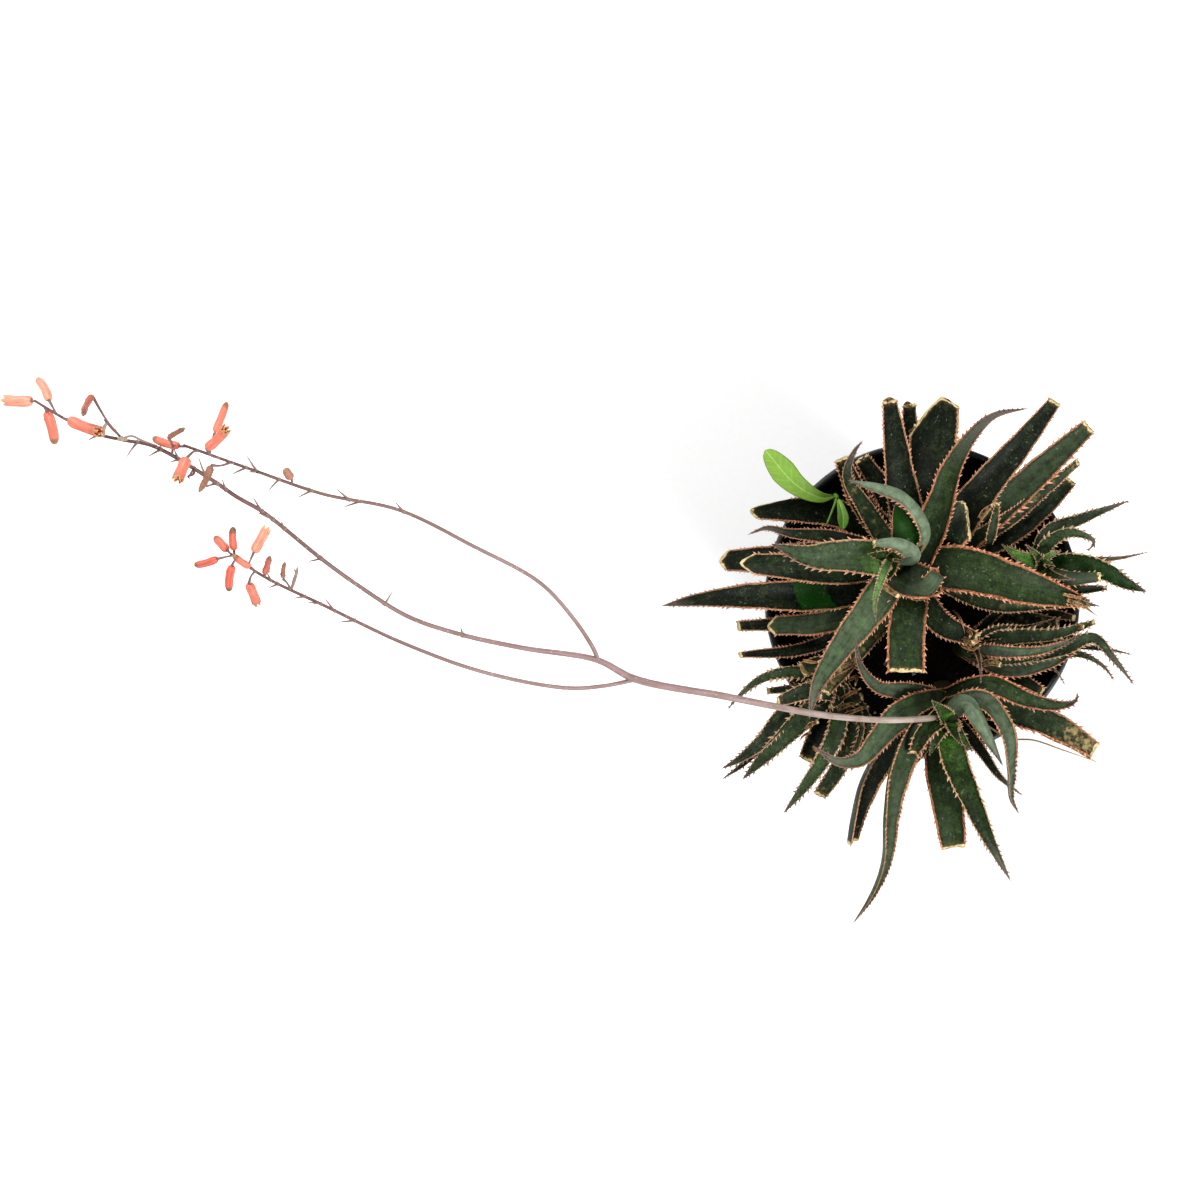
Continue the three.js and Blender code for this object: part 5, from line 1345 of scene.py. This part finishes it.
def grow_petals(flower, chance, tube_of_petals):
    """The flower's tube, and the inside of its wall where it is open."""
    form, (pale, dark, dry) = FORMS[flower.form], PETALS[flower.look]
    start, axis, length, across, other = bloom_axes(flower)
    turn = evenly_round(PETAL_SIDES)
    ridge = 0.5 + 0.5 * np.cos(6 * turn)  # 1 along the middle of a petal, 0 in the crease
    share = ring_shares(flower)
    swell = soft_swell(form, share)
    twist = form.twist * share * chance.choice([-1, 1])
    bend = 0.045 * length * np.sin(np.pi * share) * chance.uniform(-1, 1)
    crease = form.crease * ease(share / 0.3)
    notch = form.notch * ease((share - 0.72) / 0.28)
    layers = [(i, 0.0) for i in range(len(share))]
    if flower.form == "open":
        layers += [(i, WALL) for i in INSIDE_RINGS]
    rings, note = [], []
    for i, inner in layers:
        crumpled = 1 + form.crumple * chance.normal(size=PETAL_SIDES)
        radius = (flower.width / 2) * swell[i] * (1 - crease[i] * (1 - ridge)) * crumpled - inner
        ahead = share[i] * length - notch[i] * (1 - ridge) ** 1.5 * length
        angle = turn + twist[i]
        spot = start + np.outer(np.cos(angle) * radius + bend[i], across)
        rings.append(spot + np.outer(np.sin(angle) * radius, other) + np.outer(ahead, axis))
        note.append(np.column_stack([ridge, 0 * turn + share[i] * length, 0 * turn + share[i]]))
    faces = closed_faces(len(rings), PETAL_SIDES)
    look = (pale, dark * form.tips, dry)
    tube_of_petals.add(np.vstack(rings), faces, petal_place=np.vstack(note), petal_look=look)


def grow_stamens(flower, chance, threads):
    """The ends of a few stamens in an open mouth."""
    start, axis, length, across, other = bloom_axes(flower)
    for k in range(STAMENS):
        angle = 1.57 * k + chance.uniform(-0.4, 0.4)
        lean = across * math.cos(angle) + other * math.sin(angle)
        foot = start + axis * 0.62 * length + lean * 0.12 * flower.width
        mouth = start + axis * length * chance.uniform(0.93, 1.02) + lean * 0.24 * flower.width
        bent = [foot, (foot + mouth) / 2 + 0.1 * lean, mouth - 0.9 * axis, mouth]
        tube(Path(bent, [0.13, 0.12, 0.12, 0.26]), 9, 6, threads)


slots = {row["node"]: row["material_slot"] for row in frame["record"]["subparts"]}
threads = Gathering()
for number, flower in enumerate(FLOWERS):
    node, bloom = f"flower_{number + 1:02d}", Gathering()
    chance = np.random.default_rng(700 + number)
    grow_petals(flower, chance, bloom)
    if flower.form == "open":
        grow_stamens(flower, chance, threads)
    settle(bloom.piece(node + "_petals", petals), slots[node], node)
settle(threads.piece("flower_stamens", stamens), "flower")

# %% [markdown]
# ## Flower stems, bracts and joints
#
# A slim stem carries each flower, and a dry papery bract sits under it. Where a flower has dropped, its
# bract and a curled thread stay. They are short tubes and tapered scales that start on the stalk, so
# all of them and the stalk are one grown piece.

# %% Bracts left on the stalk
# each as two seen places, its foot and its tip
BRACTS = [
    ((-393, 79, 255), (-397, 73, 258)), ((-381, 75, 252), (-386, 72.5, 250)),
    ((-352, 59, 243), (-358, 57, 240)), ((-301, 20.5, 224), (-306, 19.5, 222)),
    ((-268, -1, 210), (-266, 3, 212)), ((-230, -17.5, 194), (-231, -14, 197)),
    ((-333, 64.5, 250), (-337, 70.5, 254)), ((-338, 66, 251), (-344, 63.5, 248)),
    ((-322, 60, 248), (-326, 56, 246)), ((-305, 55, 244), (-311, 52, 242)),
    ((-287, 51, 238), (-292, 54.5, 240)), ((-281, 49, 236), (-288, 47, 234)),
    ((-260, 44.5, 229), (-263, 48, 232)), ((-322, 8, 204), (-326, 6.5, 202)),
    ((-294, -5.5, 198), (-298, -0.5, 202)), ((-285, -10.5, 196), (-291, -11, 194)),
    ((-412, 82.5, 260), (-416.5, 80.3, 262)), ((-371.5, 70, 249), (-375.4, 69.2, 252)),
    ((-371, 71, 249), (-374, 74.5, 254)), ((-364, 65.5, 247), (-366.8, 62.3, 246)),
    ((-358.4, 62, 245), (-361.5, 69.4, 250)), ((-348.2, 55.5, 243), (-350, 59.3, 246)),
    ((-333, 64.5, 250), (-336.5, 64, 251)), ((-329.8, 45, 236), (-334, 50, 238)),
    ((-324.5, 40.3, 234), (-331, 43, 236)), ((-318.7, 36, 231), (-320.5, 38.6, 234)),
    ((-301.5, -2, 200), (-306.5, -1.2, 202)), ((-308.5, 1.5, 202), (-313.5, 1, 203)),
    ((-325.9, 10, 205), (-327.6, 13, 207)),
]
# spent stems, papery knots and curled threads: seen places with a radius at each, then age and paleness
SPRIGS = [
    ([(-408.2, 88.6, 262, 0.5), (-409.8, 85, 261, 0.8), (-409.6, 82, 260, 0.6)], 0.6, 0.5),
    ([(-409.5, 90.2, 262, 0.3), (-405.5, 85.5, 260, 0.35), (-400.5, 80.8, 258, 0.3)], 0.8, 0.1),
    ([(-400.5, 80.8, 259, 0.45), (-395.4, 82, 259, 0.4), (-391, 80, 258, 0.4),
        (-383.2, 77.2, 254, 0.25)], 0.7, 0.3),
    ([(-403, 80.2, 259, 0.3), (-400.7, 80.6, 259.5, 1.1), (-397.8, 80.2, 258.5, 0.4)], 0.4, 0.9),
    ([(-412.7, 82.2, 261, 0.4), (-411.3, 82.3, 261.5, 0.9), (-409.9, 81.9, 261, 0.4)], 0.4, 0.9),
    ([(-364.3, 65.6, 248, 0.4), (-364.8, 63, 249, 0.5), (-367.5, 61.8, 249, 0.4),
        (-366.5, 60.6, 248, 0.15)], 1, 0),
    ([(-354.8, 58.5, 244, 0.25), (-358.5, 56.6, 243, 0.18), (-361, 59, 244, 0.12)], 0.8, 0.3),
    ([(-315.8, 5.4, 203, 0.5), (-314.5, 9.5, 205, 0.75), (-313, 14.4, 207, 0.6),
        (-312.9, 16.8, 208, 0.15)], 0.8, 0.4),
    ([(-313.3, 13.2, 206.5, 0.4), (-314, 14.6, 207.2, 0.3), (-314.7, 15.8, 208, 0.12)], 0.8, 0.4),
]
print(len(BRACTS), "bracts and", len(SPRIGS), "spent stems and threads")

# %% How things grow from the stalk
STEM_GAP = 0.3  # the flower's stem stops this far short of the flower
BRACT_WIDTH = 0.5
stalk_line = np.vstack([path.line for path in stalk_paths])
stalk_girth = np.concatenate([path.girth for path in stalk_paths])


def on_stalk(place):
    """The stalk's point nearest to a seen place, which way it runs there, and its radius."""
    near = int(np.argmin(np.linalg.norm(stalk_line - sight([place])[0], axis=1)))
    after = min(near + 1, len(stalk_line) - 1)
    return stalk_line[near], unit(stalk_line[after] - stalk_line[after - 1]), stalk_girth[near]


def grow_bract(start, tip, stalk):
    """A papery scale: a short tapered horn that hugs the stalk and curls away at its tip."""
    reach = np.linalg.norm(tip - start)
    middle = start + 0.45 * (tip - start) + [0, 0, 0.12 * reach]
    path = Path([start, middle, tip], [BRACT_WIDTH, 0.74 * BRACT_WIDTH, 0.14])
    tube(path, 8, 7, stalk, wobble=0.08, tube_look=(0.9, 0.3, 0))


def grow_flower_stem(flower, stalk):
    """The slim stem from the stalk to just short of a flower's base, and the bract under it."""
    foot = on_stalk(flower.stem)[0]
    socket, stop = sight([flower.base, flower.end])
    back = unit(socket - stop)
    mouth = socket + back * STEM_GAP
    bow = -0.1 if flower.form == "withered" else 0.15
    middle = (foot + mouth) / 2 + back * bow * np.linalg.norm(foot - mouth)
    path = Path([foot, middle, mouth], [0.5, 0.38, 0.6])
    tube(path, 14, 8, stalk, wobble=0.04, tube_look=(0.75, 0.0, 0))
    grow_bract(foot, foot + 0.42 * (middle - foot) * [1, 1, 0.4] + 1.4 * unit(mouth - foot), stalk)


def grow_scar(start, tip, chance, stalk):
    """Where a flower has dropped: its bract, the knuckle it sits on, and a dry thread opposite."""
    foot, runs, girth = on_stalk(start)
    out = sight([tip])[0] - foot
    grow_bract(foot, foot + 1.25 * out, stalk)
    knuckle = Path([foot - 1.6 * runs, foot, foot + 1.6 * runs], [0.3, 1.3 * girth, 0.3])
    tube(knuckle, 9, 10, stalk, wobble=0.06, tube_look=(0.85, 0.25, 0))
    away = runs * chance.uniform(1.2, 2.6) - unit(out) * chance.uniform(1.6, 3.2)
    curl = np.cross(runs, unit(out)) * chance.uniform(-1, 1) + unit(out)
    places = [foot, foot + 0.6 * away, foot + away + 0.9 * curl, foot + 1.2 * away + 2.1 * curl]
    tube(Path(places, [0.2, 0.14, 0.11, 0.08]), 12, 5, stalk, tube_look=(0.5, 0.9, 0))


# %% The whole stalk
# each tube notes how old it is and how bare and papery, which the stalk's finish reads
STALK_RING, STALK_SIDES = 1.5, 14
AGE_AT_FOOT = (0.0, 0.35, 0.3)  # of the stalk and of each branch, where 1 is the age at the far end
stalk = Gathering()
for path, first in zip(stalk_paths, AGE_AT_FOOT):
    rings = int(path.length / STALK_RING)
    age = np.repeat(first + (1.0 - first) * np.linspace(0, 1, rings), STALK_SIDES)
    look = np.column_stack([age, np.zeros((len(age), 2))])
    tube(path, rings, STALK_SIDES, stalk, wobble=0.025, seed=5, tube_look=look)
for flower in FLOWERS:
    grow_flower_stem(flower, stalk)
chance = np.random.default_rng(61)
for start, tip in BRACTS:
    grow_scar(start, tip, chance, stalk)
for line, age, bare in SPRIGS:
    path = Path(sight(line), [place[3] for place in line])
    tube(path, 18, 8, stalk, wobble=0.08, tube_look=(age, bare, 0))
settle(stalk.piece("flower_stalk_skin", stalk_finish), "stalk", "flower_stalk")

# %% [markdown]
# ## The weed
#
# A seedling with spoon-shaped leaves stands at the back left. Its blades are thin and soft, bright lime
# green, with a midrib and side veins that show pale. The blade is a thin closed form over the same
# outline as the solid, with a groove along its midrib, and the veins are drawn by its finish.

# %% Weed finish


def soft_leaf(n):
    across, along, _ = n.note("tube_place")
    wide, deep, _ = n.note("tube_look")
    cells = n.noise(n.vector(across, along, 3.0), 0.9, 4.0)
    lime = n.blend(n.noise(n.vector(across, along, 0.0), 5.0, 4.0), "6a8f38", "88a94f")
    lime = n.blend(deep, lime, "3c6d1d")
    away = n.sum("ABSOLUTE", across)
    slant = n.sum("SINE", n.plus(n.times(along, 1.5), n.times(away, -1.6)))
    side_veins = n.times(n.fit(slant, 0.86, 1.0), n.fit(away, 0.2, 1.2, 0.0, 0.1))
    midrib = n.fit(away, 0.5, 0.12, 0.0, 0.28)
    lime = n.blend(n.times(n.plus(side_veins, midrib), wide), lime, "cfe693")
    lime = n.blend(n.fit(cells, 0.35, 0.7, 0.0, 0.3), lime, "5d8a2c")
    height = n.plus(cells, n.times(side_veins, -1.5))
    dull = n.fit(cells, 0.2, 0.8, 0.42, 0.58)
    return {"Base Color": lime, "Roughness": dull, "Normal": n.relief(height, 0.12)}


translucent = {"Subsurface_Weight": 0.15, "Subsurface_Scale": 0.001}
weed_finish = finish("Soft weed leaf", soft_leaf, Specular_IOR_Level=0.25, **translucent)

# %% Weed leaves and stems
WEED_STEM = [(-44, 52, -26), (-44, 52.5, -8), (-43.5, 52, 6), (-43, 51.5, 14)]
WEED_TWIG = [(-43, 51.5, 12), (-44.5, 47, 16.5), (-48, 38, 17)]
WEED_LEAVES = [
    # seen places of the midrib, then the width in mm and how deep the green is
    ([(-43.5, 52, 8), (-52, 51.5, 17), (-64, 58, 22), (-79, 75, 20)], 13, 0.0),
    ([(-43, 51.5, 12), (-41.5, 48, 16.5), (-40, 42, 18), (-40, 35.5, 17)], 6, 0.45),
]
WEED_RINGS = 46
WEED_ACROSS = np.array([-1, -0.8, -0.55, -0.3, -0.1, 0, 0.1, 0.3, 0.55, 0.8, 1])
STEM_HALF = 0.55  # half the width of the leaf's own stem, in mm


def spoon_half(t, width):
    """Half the width of a spoon-shaped leaf along its length, over its thin stem."""
    rounded = np.sqrt(np.maximum(0, 1 - np.clip((t - 0.62) / 0.38, 0, 1) ** 2))
    swell = np.minimum(1, t / 0.72) ** 0.8 * rounded
    return np.maximum(STEM_HALF * (1 - ease((t - 0.98) / 0.02)) + 0.05, (width / 2) * swell)


def grow_weed_leaf(places, width, deep, gathering):
    """A thin blade, grooved along its midrib, whose upper and lower side meet at the margin."""
    rib = Path(sight(places))
    t = np.linspace(0, 1, WEED_RINGS)
    along = rib.ahead(t)
    up = unit(np.array([0, 0, 1.0]) - along * along[:, 2:])
    side = np.cross(up, along)
    half = spoon_half(t, width)
    across = half[:, None] * np.concatenate([WEED_ACROSS, WEED_ACROSS[::-1][1:-1]])
    lower = np.concatenate([np.zeros(len(WEED_ACROSS)), np.ones(len(WEED_ACROSS) - 2)])
    thick = 0.16 + 0.45 * np.exp(-((across / STEM_HALF) ** 2)) * (1 - t[:, None]) ** 0.6
    cup = 0.05 * across**2 / max(width / 8, 1) - 0.28 * np.exp(-((across / 0.5) ** 2))
    swing = 0.14 * np.sin(rib.length * t / 2.1)[:, None]
    wave = swing * (across / half[:, None]) * np.minimum(1, half / 3)[:, None]
    high = cup + wave + 0.2 - lower * (thick + 0.2)
    points = laid_across(rib.at(t), side, up, across, high)
    far, share = t[:, None] * rib.length + 0 * across, t[:, None] + 0 * across
    place = np.stack([across, far, share], -1).reshape(-1, 3)
    faces = closed_faces(WEED_RINGS, across.shape[1])
    gathering.add(points, faces, tube_place=place, tube_look=(1.0, deep, 0))


weed = Gathering()
for places, width, deep in WEED_LEAVES:
    grow_weed_leaf(places, width, deep, weed)
tube(Path(sight(WEED_STEM), [1.1] * 4), 26, 14, weed, wobble=0.03, tube_look=(0.0, 0.6, 0))
tube(Path(sight(WEED_TWIG), [0.7, 0.6, 0.5]), 14, 10, weed, wobble=0.03, tube_look=(0.0, 0.5, 0))
settle(weed.piece("weed_plant", weed_finish), "weed", "weed")

# %% [markdown]
# ## The nursery pot
#
# The pot is moulded from thin black plastic: a tapered wall, a wider collar, a rolled rim and a ring of
# drain holes. It is a shape of revolution, so one profile is turned round the axis. The drain holes are
# then cut through its floor. Black plastic is never plain black: it has a fine moulded grain, a little
# dust that is heavier near its foot, and dried drops.

# %% Pot finish


def nursery_plastic(n):
    place = n.place()
    x, y, z = n.parts(place)
    grain = n.noise(place, 0.5, 3.0)
    drawn_out = n.vector(x, y, n.times(z, 0.25))  # longer down the wall
    dust = n.fit(n.noise(drawn_out, 11.0, 6.0), 0.5, 0.78, 0.0, 0.5)
    low = n.fit(z, 30.0, 0.0, 0.0, 0.35)
    drops = n.fit(n.spots(place, 7.0), 0.16, 0.1, 0.0, 0.4)
    black = n.blend(n.noise(place, 24.0, 3.0), "0c0c0e", "17171a")
    black = n.blend(n.plus(n.times(dust, 0.5), low), black, "3a332b")
    black = n.blend(drops, black, "57534b")
    dull = n.plus(n.fit(grain, 0.3, 0.7, 0.3, 0.42), n.times(n.plus(dust, drops), 0.5))
    return {"Base Color": black, "Roughness": dull, "Normal": n.relief(n.plus(grain, drops), 0.07)}


black_plastic = finish("Satin black nursery plastic", nursery_plastic, Specular_IOR_Level=0.4)

# %% Turn the pot's profile
POT_STEPS = 160
SHARP_ANGLE = math.radians(35)
PROFILE = [
    # radius and height, from the middle of the underside, up the outside, over the rim and down inside
    (0, 1.2), (18, 1.2), (20, 0.9), (30, 0.9), (48, 0.9), (52, 0.7), (53.2, 0), (56.8, 0), (57.7, 0.3),
    (58, 1.2), (61, 24), (64.4, 48), (68, 75), (71.6, 102), (74.5, 123.4), (74.9, 125.4), (75.8, 126.8),
    (76.6, 127.8), (76.8, 129.4), (76.8, 136), (76.9, 140.1), (77.4, 141.2), (78.3, 141.7), (78.9, 142.5),
    (79, 143.6), (78.8, 144.8), (78.2, 145.7), (77.2, 146), (76.2, 145.9), (75.5, 145.4), (75.2, 144.5),
    (75.2, 136), (75.2, 129.2), (74.8, 127.8), (73.6, 126.4), (73.1, 125.2), (69.6, 98), (64.6, 61),
    (59.2, 20), (56.6, 3.6), (55.2, 2.6), (48, 2.4), (30, 2.4), (0, 2.4),
]


def circle_points(radii, steps):
    """Points on level circles round the axis, one circle for each radius and height."""
    return [[r * math.cos(a), r * math.sin(a), z] for r, z in radii for a in evenly_round(steps)]


def turn_profile(profile, steps, gathering):
    """A shape of revolution with its poles closed by a fan."""
    ring = profile[1:-1]
    points = circle_points(ring, steps) + [[0, 0, profile[0][1]], [0, 0, profile[-1][1]]]
    faces = skin_faces(len(ring), steps)
    last = (len(ring) - 1) * steps
    for i in range(steps):
        j = (i + 1) % steps
        faces += [(j, i, len(points) - 2), (last + i, last + j, len(points) - 1)]
    gathering.add(points, faces)


# %% Drain holes
HOLES, HOLE_CIRCLE, HOLE_RADIUS, HOLE_SIDES = 8, 41, 5, 28
DRILL_FROM, DRILL_TO = -4, 6


def drain_drills():
    """Round bars that stand where the drain holes go."""
    drills = Gathering()
    for k in range(HOLES):
        angle = 2 * math.pi * (k + 0.5) / HOLES
        middle = np.array([HOLE_CIRCLE * math.cos(angle), HOLE_CIRCLE * math.sin(angle), 0])
        circle = evenly_round(HOLE_SIDES)
        rim = middle + HOLE_RADIUS * np.column_stack([np.cos(circle), np.sin(circle), 0 * circle])
        ends = np.vstack([rim + [0, 0, DRILL_FROM], rim + [0, 0, DRILL_TO]])
        drills.add(ends, closed_faces(2, HOLE_SIDES))
    return drills.piece("drain_drills")


def bore(piece, drill):
    """Cuts the drills out of a piece, keeps the result as a plain mesh and clears the drills away."""
    cut = piece.modifiers.new("Drain holes", "BOOLEAN")
    cut.operation, cut.object, cut.solver = "DIFFERENCE", drill, "EXACT"
    now = bpy.context.evaluated_depsgraph_get()
    bored = bpy.data.meshes.new_from_object(piece.evaluated_get(now))
    piece.modifiers.remove(cut)
    piece.data = bored
    bpy.data.objects.remove(drill)


turned = Gathering()
turn_profile(PROFILE, POT_STEPS, turned)
pot = turned.piece("pot_shell", black_plastic)
bore(pot, drain_drills())
pot.data.set_sharp_from_angle(angle=SHARP_ANGLE)
settle(pot, "pot", "pot")

# %% [markdown]
# ## The soil
#
# The mix is dark and damp, with crumbs of bark and a few white grains of perlite, and it is painted darker
# still as shade for the deep gaps between the leaves. Its body is a turned lump whose top follows the
# solid's gentle bumps, and the crumbs lie on it. They are scattered by Geometry Nodes: points on the top, a
# rough pebble on each, turned and sized by a fixed seed.

# %% Soil finish


def earth(n):
    """The dark of the damp mix, made darker still as painted shade for the gaps between the leaves, and its
    grit.
    """
    place = n.place()
    grit = n.noise(place, 1.4, 6.0)
    # painted shade: near black, darker than the damp mix alone, so that the soil seen between the leaves
    # reads as shade
    dark = n.blend(n.fit(grit, 0.3, 0.7), "070504", "1a130e")
    return n.blend(n.fit(n.noise(place, 6.0, 3.0), 0.5, 0.7, 0.0, 0.5), dark, "0e0a07"), grit


def gritty(n, dark, grit):
    dull = n.fit(grit, 0.2, 0.8, 0.8, 0.98)
    return {"Base Color": dark, "Roughness": dull, "Normal": n.relief(grit, 0.6)}


def potting_mix(n):
    return gritty(n, *earth(n))


def crumb_mix(n):
    """The same, with bark of all shades and one or two white grains in a hundred."""
    (dark, grit), kind = earth(n), n.carried("crumb_kind", "Fac")
    dark = n.blend(0.6, dark, n.blend(n.fit(kind, 0.0, 0.7), "120c08", "332419"))
    dark = n.blend(n.fit(kind, 0.975, 0.985), dark, n.blend(grit, "8d887d", "c9c4b8"))
    return gritty(n, dark, grit)


# the mix's finish holds painted shade as well as its damp colour
damp_soil_and_shade = finish("Damp potting mix", potting_mix, Specular_IOR_Level=0.15)
loose_crumbs = finish("Bark and perlite crumbs", crumb_mix, Specular_IOR_Level=0.15)

# %% Soil body
SOIL_TOP, SOIL_STEPS = 131.0, 120
SOIL_FOOT, SOIL_SHOULDER = 2.7, 125  # heights where its side starts and where it turns in to the top
FOOT_RADIUS, WIDENING = 58, 16.8 / 126  # the pot's outside at its foot, and how it widens upwards
POT_WALL, SOIL_GAP = 1.6, 0.7


def soil_height(x, y):
    """The solid's bumps, with finer ones on them."""
    bumps = np.sin(x * 0.31 + 1.3) * np.cos(y * 0.27) + 0.5 * np.sin(x * 0.83 - y * 0.71)
    fine = 0.35 * np.sin(1.9 * x + 0.7 * y) * np.cos(1.3 * y - 0.4 * x)
    return SOIL_TOP + 1.6 * bumps / 1.5 - 1.6 + fine


def inside(z):
    """The pot's inner radius at a height, less a small gap."""
    return FOOT_RADIUS + WIDENING * z - POT_WALL - SOIL_GAP


shoulder = inside(SOIL_SHOULDER)
soil_profile = [(0, SOIL_FOOT), (30, SOIL_FOOT), (inside(2.4), SOIL_FOOT), (inside(60), 60)]
soil_profile += [(shoulder, SOIL_SHOULDER), (shoulder * 0.985, 129)]
soil_profile += [(r, SOIL_TOP) for r in np.linspace(shoulder * 0.97, 2.0, 40)] + [(0, SOIL_TOP)]
body = Gathering()
turn_profile(soil_profile, SOIL_STEPS, body)
lump = body.points[0]
top = lump[:, 2] > SOIL_TOP - 0.1
lump[top, 2] = soil_height(lump[top, 0], lump[top, 1])
settle(body.piece("soil_body", damp_soil_and_shade), "soil", "soil")

# %% Scatter crumbs by Geometry Nodes
CRUMBS = {"Density": 90000.0, "Size": 1.15 * MM}  # crumbs a square metre, and a crumb's radius
SCATTER_SEED, TURN_SEED, SIZE_SEED, KIND_SEED = 4, 5, 6, 7
CRUMB_RINGS, CRUMB_STEPS = 30, 80
CRUMB_LIFT = 0.2  # mm by which the ground that carries the crumbs lies over the soil


def crumb_tree():
    inputs = {"Density": "Float", "Size": "Float", "Finish": "Material"}
    tree, names, start = new_tree("Crumbs on soil", **inputs)
    n = Nodes(tree)

    def random_vector(low, high, seed):
        ends = {0: low, 1: high, "Seed": seed}
        return n.add("FunctionNodeRandomValue", ends, data_type="FLOAT_VECTOR").outputs[0]

    sown = {"Mesh": start["Ground"], "Density": start["Density"], "Seed": SCATTER_SEED}
    spots = n.add("GeometryNodeDistributePointsOnFaces", sown).outputs["Points"]
    ball = {"Radius": start["Size"], "Subdivisions": 2}
    pebble = n.add("GeometryNodeMeshIcoSphere", ball).outputs["Mesh"]
    where = n.add("GeometryNodeInputPosition", {}).outputs[0]
    rough = n.add("ShaderNodeTexNoise", {"Vector": where, "Scale": 900.0, "Detail": 1.0}).outputs[0]
    lumpy = n.scale(where, n.plus(n.times(rough, 1.3), 0.35))
    pebble = n.add("GeometryNodeSetPosition", {"Geometry": pebble, "Position": lumpy}).outputs[0]
    turn = random_vector((0, 0, 0), (FULL_TURN, FULL_TURN, FULL_TURN), TURN_SEED)
    sizes = random_vector((0.5, 0.35, 0.3), (1.7, 1.1, 0.8), SIZE_SEED)
    stood = stand(n, spots, pebble, turn, sizes)
    kinds = {2: 0.0, 3: 1.0, "Seed": KIND_SEED}
    kind = n.add("FunctionNodeRandomValue", kinds, data_type="FLOAT").outputs[1]
    kept = note_number(n, stood, "crumb_kind", kind, "INSTANCE")
    finish_tree(n, kept, start["Finish"])
    return tree, names


def crumb_ground():
    """A sheet just over the soil, for the crumbs to stand on."""
    ground = Gathering()
    radii = [(r, 0) for r in np.linspace(70.5, 1.0, CRUMB_RINGS)]
    spots = np.array(circle_points(radii, CRUMB_STEPS))
    spots[:, 2] = soil_height(spots[:, 0], spots[:, 1]) + CRUMB_LIFT
    ground.add(spots, skin_faces(CRUMB_RINGS, CRUMB_STEPS))
    return ground.piece("soil_ground")


scatter, scatter_names = crumb_tree()
crumbs = grow("soil_crumbs", crumb_ground(), scatter, scatter_names, Finish=loose_crumbs, **CRUMBS)
settle(crumbs, "soil")
